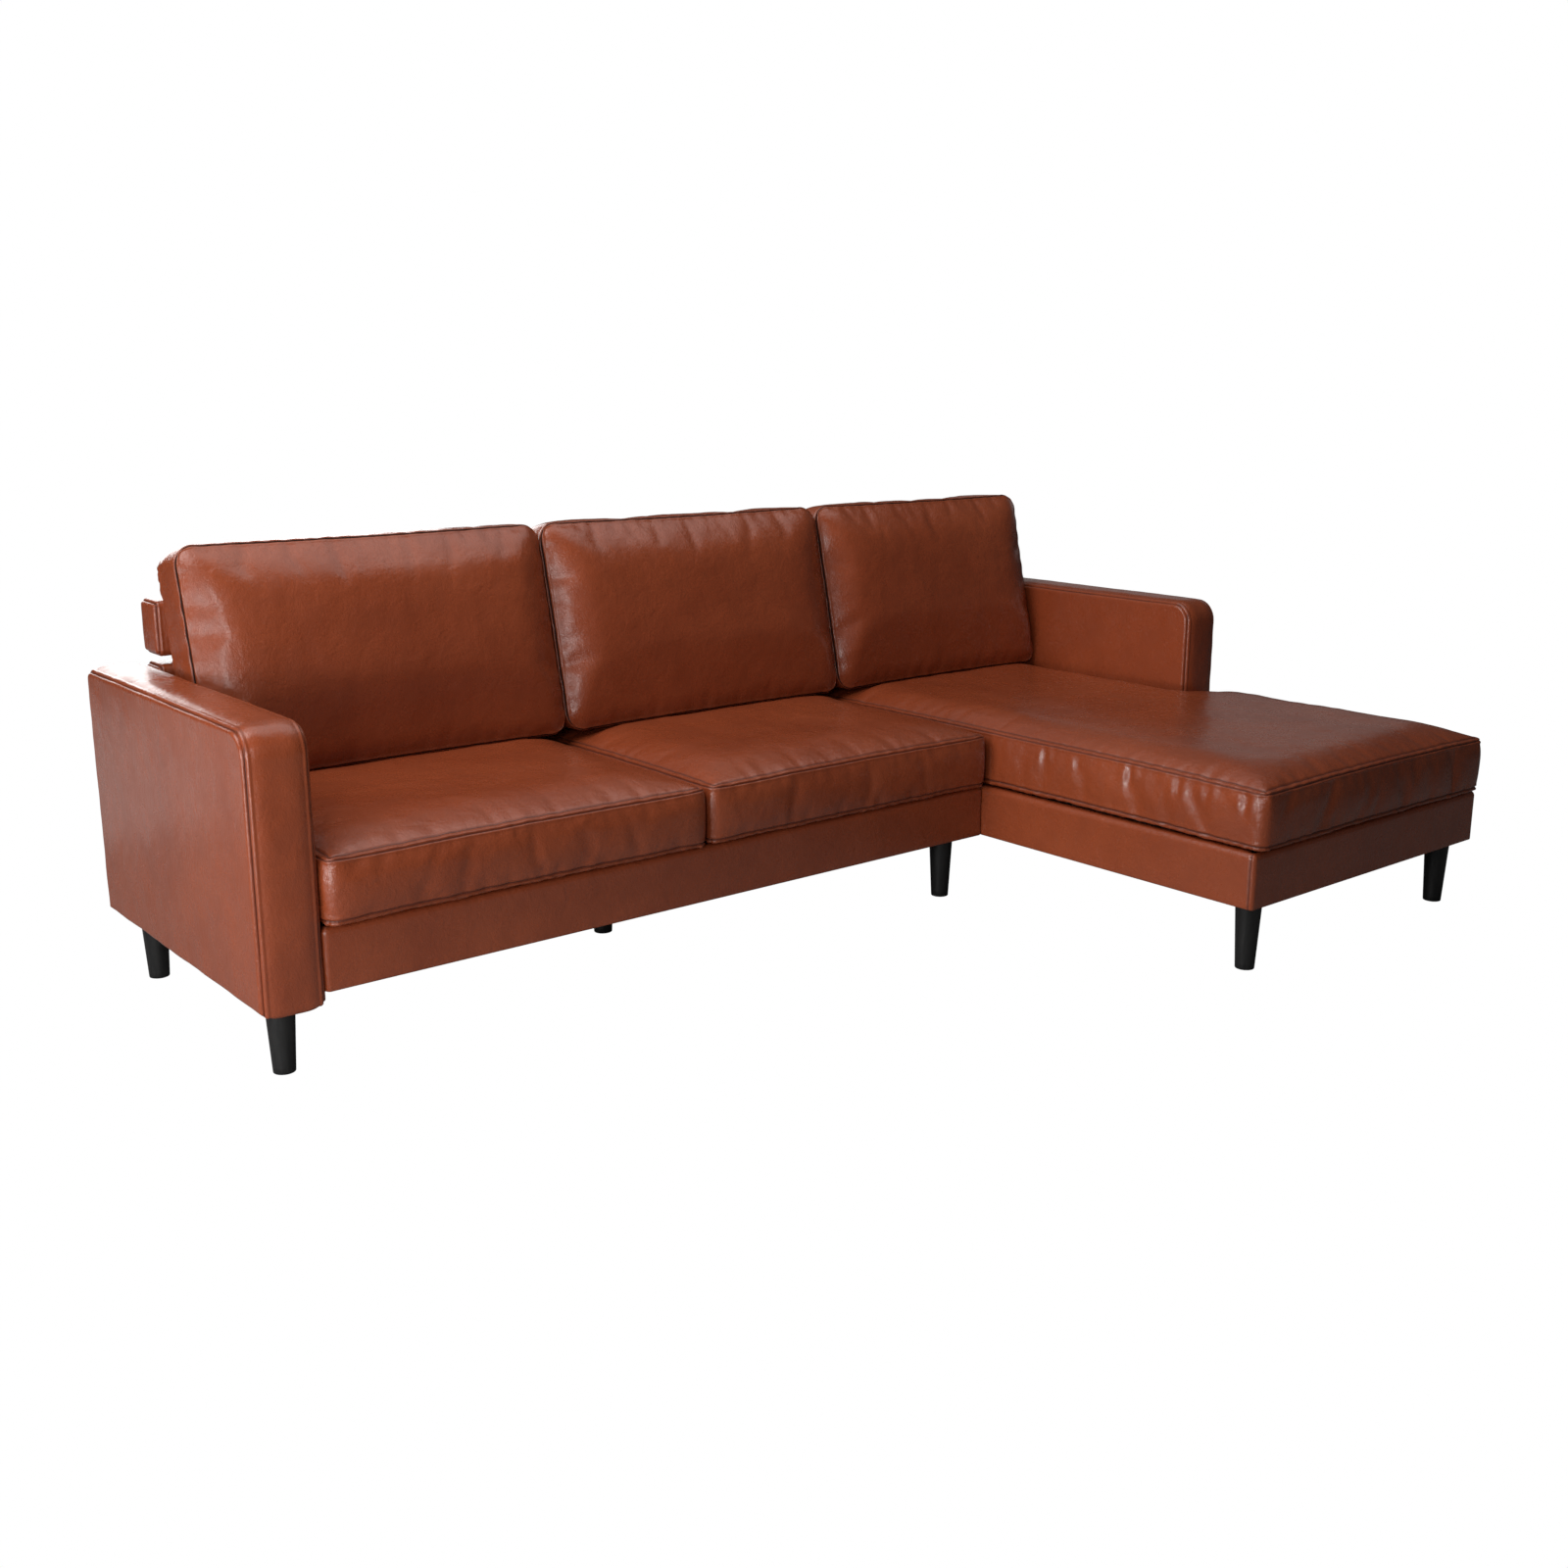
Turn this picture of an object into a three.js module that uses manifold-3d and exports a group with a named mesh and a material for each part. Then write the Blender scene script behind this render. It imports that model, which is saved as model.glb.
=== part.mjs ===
// A three-seat corner sofa with a chaise on the sitter's left, on turned black legs.
// Millimetres, +Z up. The origin is on the floor under the middle of the sofa's outline:
// +X runs along the seats towards the chaise, +Y runs towards the back.
import * as THREE from 'three';
import { mergeVertices } from 'three/addons/utils/BufferGeometryUtils.js';
import Module from 'manifold-3d';

const wasm = await Module();
wasm.setup();

// ---- driving dimensions ----
const WIDTH = 2680;
const DEPTH = 1600;
const GAP = 0.4; // air between two fixed pieces that touch on the real sofa
const COVER = 10; // leather with its layer of wadding

const ARM_WIDTH = 122;
const ARM_FRONT = -16;
const ARM_BOTTOM = 134;
const ARM_TOP = 654;
const ARM_FRONT_RADIUS = 50;
const ARM_BACK_RADIUS = 20;

const BACK_FACE = DEPTH / 2;
const BACK_THICKNESS = 88;
const BACK_TOP = 656;

const BASE_BOTTOM = 156;
const BASE_TOP = 277;
const BASE_FRONT = -14;
const BASE_LIP = 28; // how far the front cover turns over the top of its rail
const RAIL_BOTTOM = BASE_BOTTOM + 2;
const RAIL_TOP = 267.5;
const RAIL_WIDTH = 45;

const CHAISE_LEFT = 460;
const CHAISE_FRONT = -785;

const REST_BOTTOM = 673; // the padded rail above the back, which carries the back cushions
const REST_TOP = 787;

const SEAT_BOTTOM_SEAM = 295;
const SEAT_TOP_SEAM = 404;
const SEAT_CROWN = 37;
const SEAT_SAG = 15; // how far the bottom panel swells below its seam
const SEAT_FRONT = -35;
const SEAT_BACK = 708;
const SEAT_SPLIT = -369;
const SEAT_JOINT = 6; // between neighbouring seat cushions
const CHAISE_CUSHION_FRONT = -800;
const CHAISE_CUSHION_RIGHT = 1332;

const BACK_CUSHION_BOTTOM = 442.5;
const BACK_CUSHION_TOP = 900;
const BACK_CUSHION_JOINT = 8;

const CUSHION_SKIN = 3;
const CORE_CLEARANCE = 0.6;
const ZIP_OPENING = { width: 300, height: 5 };

const LEG_FOOT_RADIUS = 20.5;
const LEG_TAPER = 0.052; // growth of the radius for each millimetre up
const LEG_FLANGE = 70;
const LEG_FLANGE_THICKNESS = 2.4;

// ---- places that follow from them ----
const left = -WIDTH / 2;
const right = WIDTH / 2;
const innerLeft = left + ARM_WIDTH;
const innerRight = right - ARM_WIDTH;
const backFront = BACK_FACE - BACK_THICKNESS;

// ---- materials ----
const materials = {
  leather: new THREE.MeshStandardMaterial({ color: 0x7d3a22, roughness: 0.38 }),
  timber: new THREE.MeshStandardMaterial({ color: 0xc79d67, roughness: 0.7 }),
  steel: new THREE.MeshStandardMaterial({ color: 0x3a3b3d, roughness: 0.4, metalness: 0.9 }),
  webbing: new THREE.MeshStandardMaterial({ color: 0x2b2b2d, roughness: 0.85 }),
  dustCloth: new THREE.MeshStandardMaterial({ color: 0x18181a, roughness: 0.95 }),
  foam: new THREE.MeshStandardMaterial({ color: 0xe9dfc2, roughness: 0.9 }),
  blackWood: new THREE.MeshStandardMaterial({ color: 0x121212, roughness: 0.55 }),
};

const sofa = new THREE.Group();

function add(name, geometry, material) {
  const mesh = new THREE.Mesh(geometry, material);
  mesh.name = name;
  sofa.add(mesh);
}

// ---- shapes ----
function box(x0, x1, y0, y1, z0, z1) {
  const geometry = new THREE.BoxGeometry(x1 - x0, y1 - y0, z1 - z0);
  return geometry.translate((x0 + x1) / 2, (y0 + y1) / 2, (z0 + z1) / 2);
}

// A closed mesh as a solid that can be joined and cut.
function solid(geometry) {
  const bare = geometry.clone();
  bare.deleteAttribute('normal');
  bare.deleteAttribute('uv');
  const merged = mergeVertices(bare, 1e-3);
  const mesh = new wasm.Mesh({
    numProp: 3,
    vertProperties: new Float32Array(merged.attributes.position.array),
    triVerts: new Uint32Array(merged.index.array),
  });
  return new wasm.Manifold(mesh);
}

function geometryOf(cutSolid) {
  const mesh = cutSolid.getMesh();
  const geometry = new THREE.BufferGeometry();
  geometry.setAttribute('position', new THREE.BufferAttribute(mesh.vertProperties, 3));
  geometry.setIndex(new THREE.BufferAttribute(mesh.triVerts, 1));
  geometry.computeVertexNormals();
  return geometry;
}

// A rectangle with its own radius at each corner: near-low, far-low, far-high, near-high.
function roundedRectangle(u0, u1, v0, v1, radii) {
  const [nearLow, farLow, farHigh, nearHigh] = radii;
  const shape = new THREE.Shape();
  shape.moveTo(u0 + nearLow, v0);
  shape.lineTo(u1 - farLow, v0);
  if (farLow) shape.absarc(u1 - farLow, v0 + farLow, farLow, -Math.PI / 2, 0, false);
  shape.lineTo(u1, v1 - farHigh);
  if (farHigh) shape.absarc(u1 - farHigh, v1 - farHigh, farHigh, 0, Math.PI / 2, false);
  shape.lineTo(u0 + nearHigh, v1);
  if (nearHigh) shape.absarc(u0 + nearHigh, v1 - nearHigh, nearHigh, Math.PI / 2, Math.PI, false);
  shape.lineTo(u0, v0 + nearLow);
  if (nearLow) shape.absarc(u0 + nearLow, v0 + nearLow, nearLow, Math.PI, 1.5 * Math.PI, false);
  return shape;
}

const ARC_STEPS = 4;
const alongX = new THREE.Matrix4().makeBasis(
  new THREE.Vector3(0, 1, 0),
  new THREE.Vector3(0, 0, 1),
  new THREE.Vector3(1, 0, 0),
);

// A side view, drawn in Y and Z, carried from x0 to x1.
function extrudeAcross(shape, x0, x1) {
  const options = { depth: x1 - x0, bevelEnabled: false, curveSegments: ARC_STEPS };
  const geometry = new THREE.ExtrudeGeometry(shape, options);
  return geometry.applyMatrix4(alongX).translate(x0, 0, 0);
}

// A front view, drawn in X and Z, carried from y0 to y1.
function extrudeBack(shape, y0, y1) {
  const options = { depth: y1 - y0, bevelEnabled: false, curveSegments: ARC_STEPS };
  const geometry = new THREE.ExtrudeGeometry(shape, options);
  return geometry.rotateX(Math.PI / 2).translate(0, y1, 0);
}

// ---- arms: a timber frame inside an upholstered cover that is open underneath ----
function armSide(inset, bottom) {
  const front = ARM_FRONT + inset;
  const back = BACK_FACE - inset;
  const radii = [0, 0, ARM_BACK_RADIUS - inset, ARM_FRONT_RADIUS - inset];
  return roundedRectangle(front, back, bottom, ARM_TOP - inset, radii);
}

function addArm(side, x0) {
  const x1 = x0 + ARM_WIDTH;
  const wall = COVER + 2;
  const outside = solid(extrudeAcross(armSide(0, ARM_BOTTOM), x0, x1));
  const hollow = solid(extrudeAcross(armSide(wall, ARM_BOTTOM - 10), x0 + wall, x1 - wall));
  add(`${side}_arm_cover`, geometryOf(outside.subtract(hollow)), materials.leather);

  const [t0, t1] = [x0 + wall + 1, x1 - wall - 1];
  const [front, back] = [ARM_FRONT + wall + 1, BACK_FACE - wall - 1];
  const railBottom = ARM_BOTTOM + 2;
  const railHeight = 40;
  const postBottom = railBottom + railHeight + GAP;
  const topRailBottom = ARM_TOP - wall - 1 - railHeight;
  const postTop = topRailBottom - GAP;
  const frontPost = box(t0, t1, front, front + RAIL_WIDTH, postBottom, postTop);
  const backPost = box(t0, t1, back - RAIL_WIDTH, back, postBottom, postTop);
  const bottomRail = box(t0, t1, front, back, railBottom, railBottom + railHeight);
  const topRail = box(t0, t1, front + ARM_FRONT_RADIUS, back - ARM_BACK_RADIUS,
    topRailBottom, topRailBottom + railHeight);
  add(`${side}_arm_front_post`, frontPost, materials.timber);
  add(`${side}_arm_back_post`, backPost, materials.timber);
  add(`${side}_arm_bottom_rail`, bottomRail, materials.timber);
  add(`${side}_arm_top_rail`, topRail, materials.timber);
}

addArm('left', left);
addArm('right', right - ARM_WIDTH);

// ---- base under the two seats ----
const frameBack = backFront - GAP; // the bases stop against the back
const seatLeft = innerLeft + GAP;
const seatRight = CHAISE_LEFT - GAP;
const railFront = BASE_FRONT + COVER + GAP;
const midStart = railFront + RAIL_WIDTH + GAP;
const backRailFront = frameBack - 32;
const midEnd = backRailFront - GAP;
const CENTRE_RAIL = -392;
const SIDE_RAIL = 30;
const SPLIT_RAIL = 60;

const timberLeft = seatLeft + COVER; // the timber stops short so that the leather can turn in at each end
const timberRight = seatRight - COVER;

function rail(x0, x1, y0, y1) {
  return box(x0, x1, y0, y1, RAIL_BOTTOM, RAIL_TOP);
}

const seatRails = {
  front_rail: rail(timberLeft, timberRight, railFront, railFront + RAIL_WIDTH),
  back_rail: rail(timberLeft, timberRight, backRailFront, frameBack),
  left_rail: rail(timberLeft, timberLeft + SIDE_RAIL, midStart, midEnd),
  right_rail: rail(timberRight - SPLIT_RAIL, timberRight, midStart, midEnd),
  centre_rail: rail(CENTRE_RAIL - RAIL_WIDTH / 2, CENTRE_RAIL + RAIL_WIDTH / 2, midStart, midEnd),
};
for (const [name, geometry] of Object.entries(seatRails)) {
  add(`seat_base_${name}`, geometry, materials.timber);
}

// The front cover hangs down the rail's face and turns over its top edge.
function lipped(front, bottom) {
  const shape = new THREE.Shape();
  const radius = 12;
  shape.moveTo(front, bottom);
  shape.lineTo(front + COVER, bottom);
  shape.lineTo(front + COVER, RAIL_TOP + GAP);
  shape.lineTo(front + BASE_LIP, RAIL_TOP + GAP);
  shape.lineTo(front + BASE_LIP, BASE_TOP);
  shape.lineTo(front + radius, BASE_TOP);
  shape.absarc(front + radius, BASE_TOP - radius, radius, Math.PI / 2, Math.PI, false);
  return shape;
}

add('seat_base_front_cover', extrudeAcross(lipped(BASE_FRONT, BASE_BOTTOM), seatLeft, seatRight),
  materials.leather);

// ---- base under the chaise: an L that runs forward past the right arm ----
const chaiseRight = right;
const chaiseInLeft = CHAISE_LEFT + COVER + GAP;
const chaiseInRight = chaiseRight - COVER - GAP;
const chaiseInFront = CHAISE_FRONT + COVER + GAP;
const chaiseRearRight = innerRight - GAP;
const chaiseMidFront = chaiseInFront + RAIL_WIDTH + GAP;
const notch = ARM_FRONT - 1; // the wide part of the chaise ends just in front of the arm
const crossFront = notch - RAIL_WIDTH;
const sideCoverFront = CHAISE_FRONT + COVER + GAP;

const chaiseRails = {
  front_rail: rail(chaiseInLeft, chaiseInRight, chaiseInFront, chaiseInFront + RAIL_WIDTH),
  left_rail: rail(chaiseInLeft, chaiseInLeft + RAIL_WIDTH, chaiseMidFront, midEnd),
  right_rail: rail(chaiseInRight - RAIL_WIDTH, chaiseInRight, chaiseMidFront, crossFront - GAP),
  cross_rail: rail(chaiseInLeft + RAIL_WIDTH + GAP, chaiseInRight, crossFront, notch),
  rear_right_rail: rail(chaiseRearRight - RAIL_WIDTH, chaiseRearRight, notch + GAP, midEnd),
  back_rail: rail(chaiseInLeft, chaiseRearRight, backRailFront, frameBack),
};
for (const [name, geometry] of Object.entries(chaiseRails)) {
  add(`chaise_base_${name}`, geometry, materials.timber);
}

const chaiseCovers = {
  left: box(CHAISE_LEFT, CHAISE_LEFT + COVER, sideCoverFront, BASE_FRONT - GAP, BASE_BOTTOM, BASE_TOP),
  front: box(CHAISE_LEFT, chaiseRight, CHAISE_FRONT, CHAISE_FRONT + COVER, BASE_BOTTOM, BASE_TOP),
  right: box(chaiseRight - COVER, chaiseRight, sideCoverFront, notch, BASE_BOTTOM, BASE_TOP),
};
for (const [side, geometry] of Object.entries(chaiseCovers)) {
  add(`chaise_base_${side}_cover`, geometry, materials.leather);
}

// ---- webbing: elastic straps, stapled to the tops of the rails, one woven sheet for each base ----
const STRAP = 50;
const STRAP_THICKNESS = 2.5;

function straps(areas, lengthwise, crosswise) {
  const z0 = RAIL_TOP + GAP;
  let woven = null;
  for (const [x0, x1, y0, y1] of areas) {
    for (let i = 0; i < lengthwise; i += 1) {
      const x = x0 + ((x1 - x0 - STRAP) * i) / (lengthwise - 1);
      const strap = solid(box(x, x + STRAP, y0, y1, z0, z0 + STRAP_THICKNESS));
      woven = woven ? woven.add(strap) : strap;
    }
    for (let i = 0; i < crosswise; i += 1) {
      const y = y0 + ((y1 - y0 - STRAP) * i) / (crosswise - 1);
      woven = woven.add(solid(box(x0, x1, y, y + STRAP, z0, z0 + STRAP_THICKNESS)));
    }
  }
  return geometryOf(woven);
}

const webbingFront = BASE_FRONT + BASE_LIP + 2;
add('seat_base_webbing', straps([[seatLeft, seatRight, webbingFront, frameBack]], 12, 5), materials.webbing);
const chaiseWebbing = [
  [chaiseInLeft, chaiseInRight, chaiseInFront, notch],
  [chaiseInLeft, chaiseRearRight, notch - STRAP, frameBack],
];
add('chaise_base_webbing', straps(chaiseWebbing, 6, 5), materials.webbing);

// ---- legs: a turned taper with a square flange that is screwed up into the rails ----
const armLegX = right - ARM_WIDTH / 2;
const legs = {
  left_arm_front: [-armLegX, 56, ARM_BOTTOM],
  left_arm_back: [-armLegX, 702, ARM_BOTTOM],
  seat_centre: [CENTRE_RAIL, 352, BASE_BOTTOM],
  inner_corner: [397, 61, BASE_BOTTOM],
  chaise_front_left: [537, -725, BASE_BOTTOM],
  chaise_front_right: [1292, -725, BASE_BOTTOM],
  chaise_rear_left: [537, 668, BASE_BOTTOM],
  right_arm_front: [armLegX, 56, ARM_BOTTOM],
  right_arm_back: [armLegX, 702, ARM_BOTTOM],
};

function leg(x, y, top) {
  const height = top + 1.6;
  const profile = [
    [0, 0],
    [LEG_FOOT_RADIUS - 1.5, 0],
    [LEG_FOOT_RADIUS, 1.5],
    [LEG_FOOT_RADIUS + LEG_TAPER * height, height],
    [0, height],
  ].map(([r, z]) => new THREE.Vector2(r, z));
  const taper = solid(new THREE.LatheGeometry(profile, 20).rotateX(Math.PI / 2));
  const half = LEG_FLANGE / 2;
  const flange = solid(box(-half, half, -half, half, height - LEG_FLANGE_THICKNESS, height));
  return geometryOf(taper.add(flange)).translate(x, y, 0);
}

for (const [name, [x, y, top]] of Object.entries(legs)) {
  add(`leg_${name}`, leg(x, y, top), materials.blackWood);
}

// ---- dust covers: black cloth stapled under each base, cut round the leg flanges ----
function dustCover(outline) {
  const z0 = BASE_BOTTOM + 0.2;
  const z1 = RAIL_BOTTOM - GAP;
  let cloth = null;
  for (const [x0, x1, y0, y1] of outline) {
    const sheet = solid(box(x0, x1, y0, y1, z0, z1));
    cloth = cloth ? cloth.add(sheet) : sheet;
  }
  const half = LEG_FLANGE / 2 + 1;
  for (const [x, y] of Object.values(legs)) {
    cloth = cloth.subtract(solid(box(x - half, x + half, y - half, y + half, z0 - 5, z1 + 5)));
  }
  return geometryOf(cloth);
}

add('seat_base_dust_cover', dustCover([[seatLeft, seatRight, railFront, frameBack]]), materials.dustCloth);
const chaiseUnderside = [
  [chaiseInLeft, chaiseInRight, chaiseInFront, notch],
  [chaiseInLeft, chaiseRearRight, notch - 20, frameBack],
];
add('chaise_base_dust_cover', dustCover(chaiseUnderside), materials.dustCloth);

// ---- back: three posts and a top rail inside an upholstered cover that is open underneath ----
const BRACKET = { width: 40, thickness: 6, bottom: 480, top: 762 };
const POST = { width: 60, depth: 40 };
const postX = [-1150, 0, 1150];
const postSides = ['left', 'centre', 'right'];
const hollowFront = backFront + COVER;
const bracketFront = hollowFront + 0.5 + POST.depth + GAP;

function bracketAt(x, clearance) {
  const half = BRACKET.width / 2 + clearance;
  const front = bracketFront - clearance;
  const back = bracketFront + BRACKET.thickness + clearance;
  return box(x - half, x + half, front, back, BRACKET.bottom - clearance, BRACKET.top + clearance);
}

function slottedForBrackets(block) {
  let cut = block;
  for (const x of postX) cut = cut.subtract(solid(bracketAt(x, GAP)));
  return cut;
}

function upholsteredRail(bottom, top, radii, openBelow) {
  const outside = roundedRectangle(backFront, BACK_FACE, bottom, top, radii);
  const inner = radii.map((radius) => Math.max(radius - COVER, 0));
  const floor = openBelow ? bottom - 10 : bottom + COVER;
  const inside = roundedRectangle(hollowFront, BACK_FACE - COVER, floor, top - COVER, inner);
  const wall = solid(extrudeAcross(outside, seatLeft, chaiseRearRight));
  const hollow = solid(extrudeAcross(inside, seatLeft + COVER, chaiseRearRight - COVER));
  return geometryOf(slottedForBrackets(wall.subtract(hollow)));
}

add('back_cover', upholsteredRail(BASE_BOTTOM, BACK_TOP, [0, 0, 16, 16], true), materials.leather);
add('rest_rail_cover', upholsteredRail(REST_BOTTOM, REST_TOP, [14, 14, 14, 14], false), materials.leather);

const postFront = hollowFront + 0.5;
const CORNER_ROOM = 8; // keeps square timber out of the covers' rounded corners
const topRailTop = BACK_TOP - COVER - CORNER_ROOM;
const topRailBottom = topRailTop - 40;
add('back_top_rail', box(seatLeft + COVER + 1, chaiseRearRight - COVER - 1, postFront,
  postFront + POST.depth, topRailBottom, topRailTop), materials.timber);
for (const [i, x] of postX.entries()) {
  const half = POST.width / 2;
  const post = box(x - half, x + half, postFront, postFront + POST.depth, RAIL_BOTTOM, topRailBottom - GAP);
  add(`back_post_${postSides[i]}`, post, materials.timber);
  add(`rest_rail_bracket_${postSides[i]}`, bracketAt(x, 0), materials.steel);
}

const CORE_ROOM = 2;
const restCore = solid(box(seatLeft + COVER + 1, chaiseRearRight - COVER - 1, hollowFront + CORE_ROOM,
  BACK_FACE - COVER - CORE_ROOM, REST_BOTTOM + COVER + CORE_ROOM, REST_TOP - COVER - CORE_ROOM));
add('rest_rail_core', geometryOf(slottedForBrackets(restCore)), materials.timber);

// ---- seat cushions: crowned top, boxed sides, softly swollen bottom ----
// Over the unit square the top rises as 1 - |t|^power each way, so it is flat inside and
// falls to the seam at the edges.
function seatBlock(x0, x1, y0, y1, inset, powers) {
  const geometry = new THREE.BoxGeometry(2, 2, 2, 8, 8, 2);
  const position = geometry.attributes.position;
  const [powerX, powerY] = powers;
  for (let i = 0; i < position.count; i += 1) {
    const [a, b, c] = [position.getX(i), position.getY(i), position.getZ(i)];
    const dome = (1 - Math.abs(a) ** powerX) * (1 - Math.abs(b) ** powerY);
    const x = (x0 + x1) / 2 + a * ((x1 - x0) / 2 - inset);
    const y = (y0 + y1) / 2 + b * ((y1 - y0) / 2 - inset);
    let z = (SEAT_TOP_SEAM + SEAT_BOTTOM_SEAM) / 2;
    if (c > 0.5) z = SEAT_TOP_SEAM + SEAT_CROWN * dome - inset;
    if (c < -0.5) z = SEAT_BOTTOM_SEAM - SEAT_SAG * dome + inset;
    position.setXYZ(i, x, y, z);
  }
  return solid(geometry);
}

function zipOpening(x, yBack) {
  const half = ZIP_OPENING.width / 2;
  const z = (SEAT_TOP_SEAM + SEAT_BOTTOM_SEAM) / 2 - 20;
  return solid(box(x - half, x + half, yBack - 2 * CUSHION_SKIN, yBack + 5, z, z + ZIP_OPENING.height));
}

function addCushion(name, shapeAt, opening) {
  const cover = shapeAt(0).subtract(shapeAt(CUSHION_SKIN)).subtract(opening);
  add(`${name}_cover`, geometryOf(cover), materials.leather);
  add(`${name}_core`, geometryOf(shapeAt(CUSHION_SKIN + CORE_CLEARANCE)), materials.foam);
}

const half = SEAT_JOINT / 2;
const seatBays = {
  seat_cushion_left: [innerLeft + 4, SEAT_SPLIT - half],
  seat_cushion_middle: [SEAT_SPLIT + half, CHAISE_LEFT - half],
};
for (const [name, [x0, x1]] of Object.entries(seatBays)) {
  const shapeAt = (inset) => seatBlock(x0, x1, SEAT_FRONT, SEAT_BACK, inset, [4, 4]);
  addCushion(name, shapeAt, zipOpening((x0 + x1) / 2, SEAT_BACK));
}

// The chaise cushion is as wide as the chaise in front and steps in beside the right arm.
const chaiseCushionLeft = CHAISE_LEFT + half;
const ARM_CLEARANCE = 4;
function chaiseBlock(inset) {
  const whole = seatBlock(chaiseCushionLeft, CHAISE_CUSHION_RIGHT, CHAISE_CUSHION_FRONT, SEAT_BACK,
    inset, [4, 8]);
  const clearance = ARM_CLEARANCE + inset;
  const armSpace = box(innerRight - clearance, right, ARM_FRONT - clearance, BACK_FACE, 0, ARM_TOP);
  return whole.subtract(solid(armSpace));
}
addCushion('chaise_cushion', chaiseBlock, zipOpening((chaiseCushionLeft + innerRight) / 2, SEAT_BACK));

// ---- back cushions: leaning, crowned in front, resting against the rail ----
const LEAN = 0.23; // how far back for each millimetre up
const FACE_FOOT = 512; // front seam at the bottom
const FACE_CROWN = 32;
const REAR_AT_REST = backFront - 4; // rear face where it meets the top of the padded rail
const FACE_STEPS = 7;

function backCushionSide() {
  const points = [];
  const faceAt = (z) => FACE_FOOT + LEAN * (z - BACK_CUSHION_BOTTOM);
  const rearAt = (z) => REAR_AT_REST + LEAN * (z - REST_TOP);
  points.push([rearAt(BACK_CUSHION_BOTTOM + 20), BACK_CUSHION_BOTTOM + 20]);
  points.push([rearAt(BACK_CUSHION_BOTTOM) - 18, BACK_CUSHION_BOTTOM]);
  points.push([FACE_FOOT + 18, BACK_CUSHION_BOTTOM]);
  const faceBottom = BACK_CUSHION_BOTTOM + 14;
  const faceTop = BACK_CUSHION_TOP - 22;
  for (let i = 0; i <= FACE_STEPS; i += 1) {
    const t = i / FACE_STEPS;
    const z = faceBottom + t * (faceTop - faceBottom);
    points.push([faceAt(z) - FACE_CROWN * (1 - Math.abs(2 * t - 1) ** 3), z]);
  }
  points.push([faceAt(faceTop) + 18, BACK_CUSHION_TOP - 4]);
  points.push([faceAt(faceTop) + 55, BACK_CUSHION_TOP]);
  points.push([rearAt(BACK_CUSHION_TOP) - 30, BACK_CUSHION_TOP - 8]);
  points.push([rearAt(BACK_CUSHION_TOP) - 12, BACK_CUSHION_TOP - 36]);
  return points.map(([y, z]) => new THREE.Vector2(y, z)).reverse();
}

// Each corner moves inwards, square to the line between its neighbours.
function shrunk(points, inset) {
  const count = points.length;
  return points.map((point, i) => {
    const along = points[(i + 1) % count].clone().sub(points[(i + count - 1) % count]).normalize();
    return new THREE.Vector2(point.x - along.y * inset, point.y + along.x * inset);
  });
}

function backCushionBlock(x0, x1, inset) {
  const side = shrunk(backCushionSide(), inset);
  const body = solid(extrudeAcross(new THREE.Shape(side), x0 + inset, x1 - inset));
  const radii = [35, 35, 48, 48].map((radius) => radius - inset);
  const face = roundedRectangle(x0 + inset, x1 - inset, BACK_CUSHION_BOTTOM + inset - 0.2,
    BACK_CUSHION_TOP - inset + 0.2, radii);
  return body.intersect(solid(extrudeBack(face, FACE_FOOT - 100, BACK_FACE)));
}

const backBays = {
  back_cushion_left: [innerLeft + 14, SEAT_SPLIT - BACK_CUSHION_JOINT / 2],
  back_cushion_middle: [SEAT_SPLIT + BACK_CUSHION_JOINT / 2, CHAISE_LEFT - BACK_CUSHION_JOINT / 2],
  back_cushion_right: [CHAISE_LEFT + BACK_CUSHION_JOINT / 2, innerRight - 8],
};
for (const [name, [x0, x1]] of Object.entries(backBays)) {
  const zipWidth = ZIP_OPENING.width / 2;
  const middle = (x0 + x1) / 2;
  const opening = box(middle - zipWidth, middle + zipWidth, 570, 570 + ZIP_OPENING.height,
    BACK_CUSHION_BOTTOM - 5, BACK_CUSHION_BOTTOM + 2 * CUSHION_SKIN);
  addCushion(name, (inset) => backCushionBlock(x0, x1, inset), solid(opening));
}

export default sofa;
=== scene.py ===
"""A leather chaise sofa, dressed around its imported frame.

The file follows the sofa as an upholsterer puts it together: legs, frame and webbing, upholstered
arms, bases and back, then the loose seat and back cushions with their seams and piping.
"""

import math

import bmesh
import bpy
import numpy as np
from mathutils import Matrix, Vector


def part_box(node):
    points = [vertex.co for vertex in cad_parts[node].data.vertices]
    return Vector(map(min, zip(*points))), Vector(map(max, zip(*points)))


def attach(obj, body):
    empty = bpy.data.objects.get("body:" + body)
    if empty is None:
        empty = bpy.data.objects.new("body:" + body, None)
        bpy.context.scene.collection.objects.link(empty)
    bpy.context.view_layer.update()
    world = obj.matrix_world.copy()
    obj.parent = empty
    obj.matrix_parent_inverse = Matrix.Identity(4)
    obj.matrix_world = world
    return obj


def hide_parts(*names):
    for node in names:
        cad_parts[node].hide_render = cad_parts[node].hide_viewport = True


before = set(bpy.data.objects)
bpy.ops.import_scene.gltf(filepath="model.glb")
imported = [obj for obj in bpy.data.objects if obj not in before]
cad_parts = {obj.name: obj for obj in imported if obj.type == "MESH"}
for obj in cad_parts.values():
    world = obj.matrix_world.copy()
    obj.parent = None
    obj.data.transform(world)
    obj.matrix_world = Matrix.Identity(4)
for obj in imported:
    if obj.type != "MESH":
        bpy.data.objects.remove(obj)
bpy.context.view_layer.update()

# ---------------------------------------------------------------------------------------------
# Viewpoint: standing height at the left front corner, looking down a little along the seats.
# ---------------------------------------------------------------------------------------------
camera_data = bpy.data.cameras.new("camera")
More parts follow.
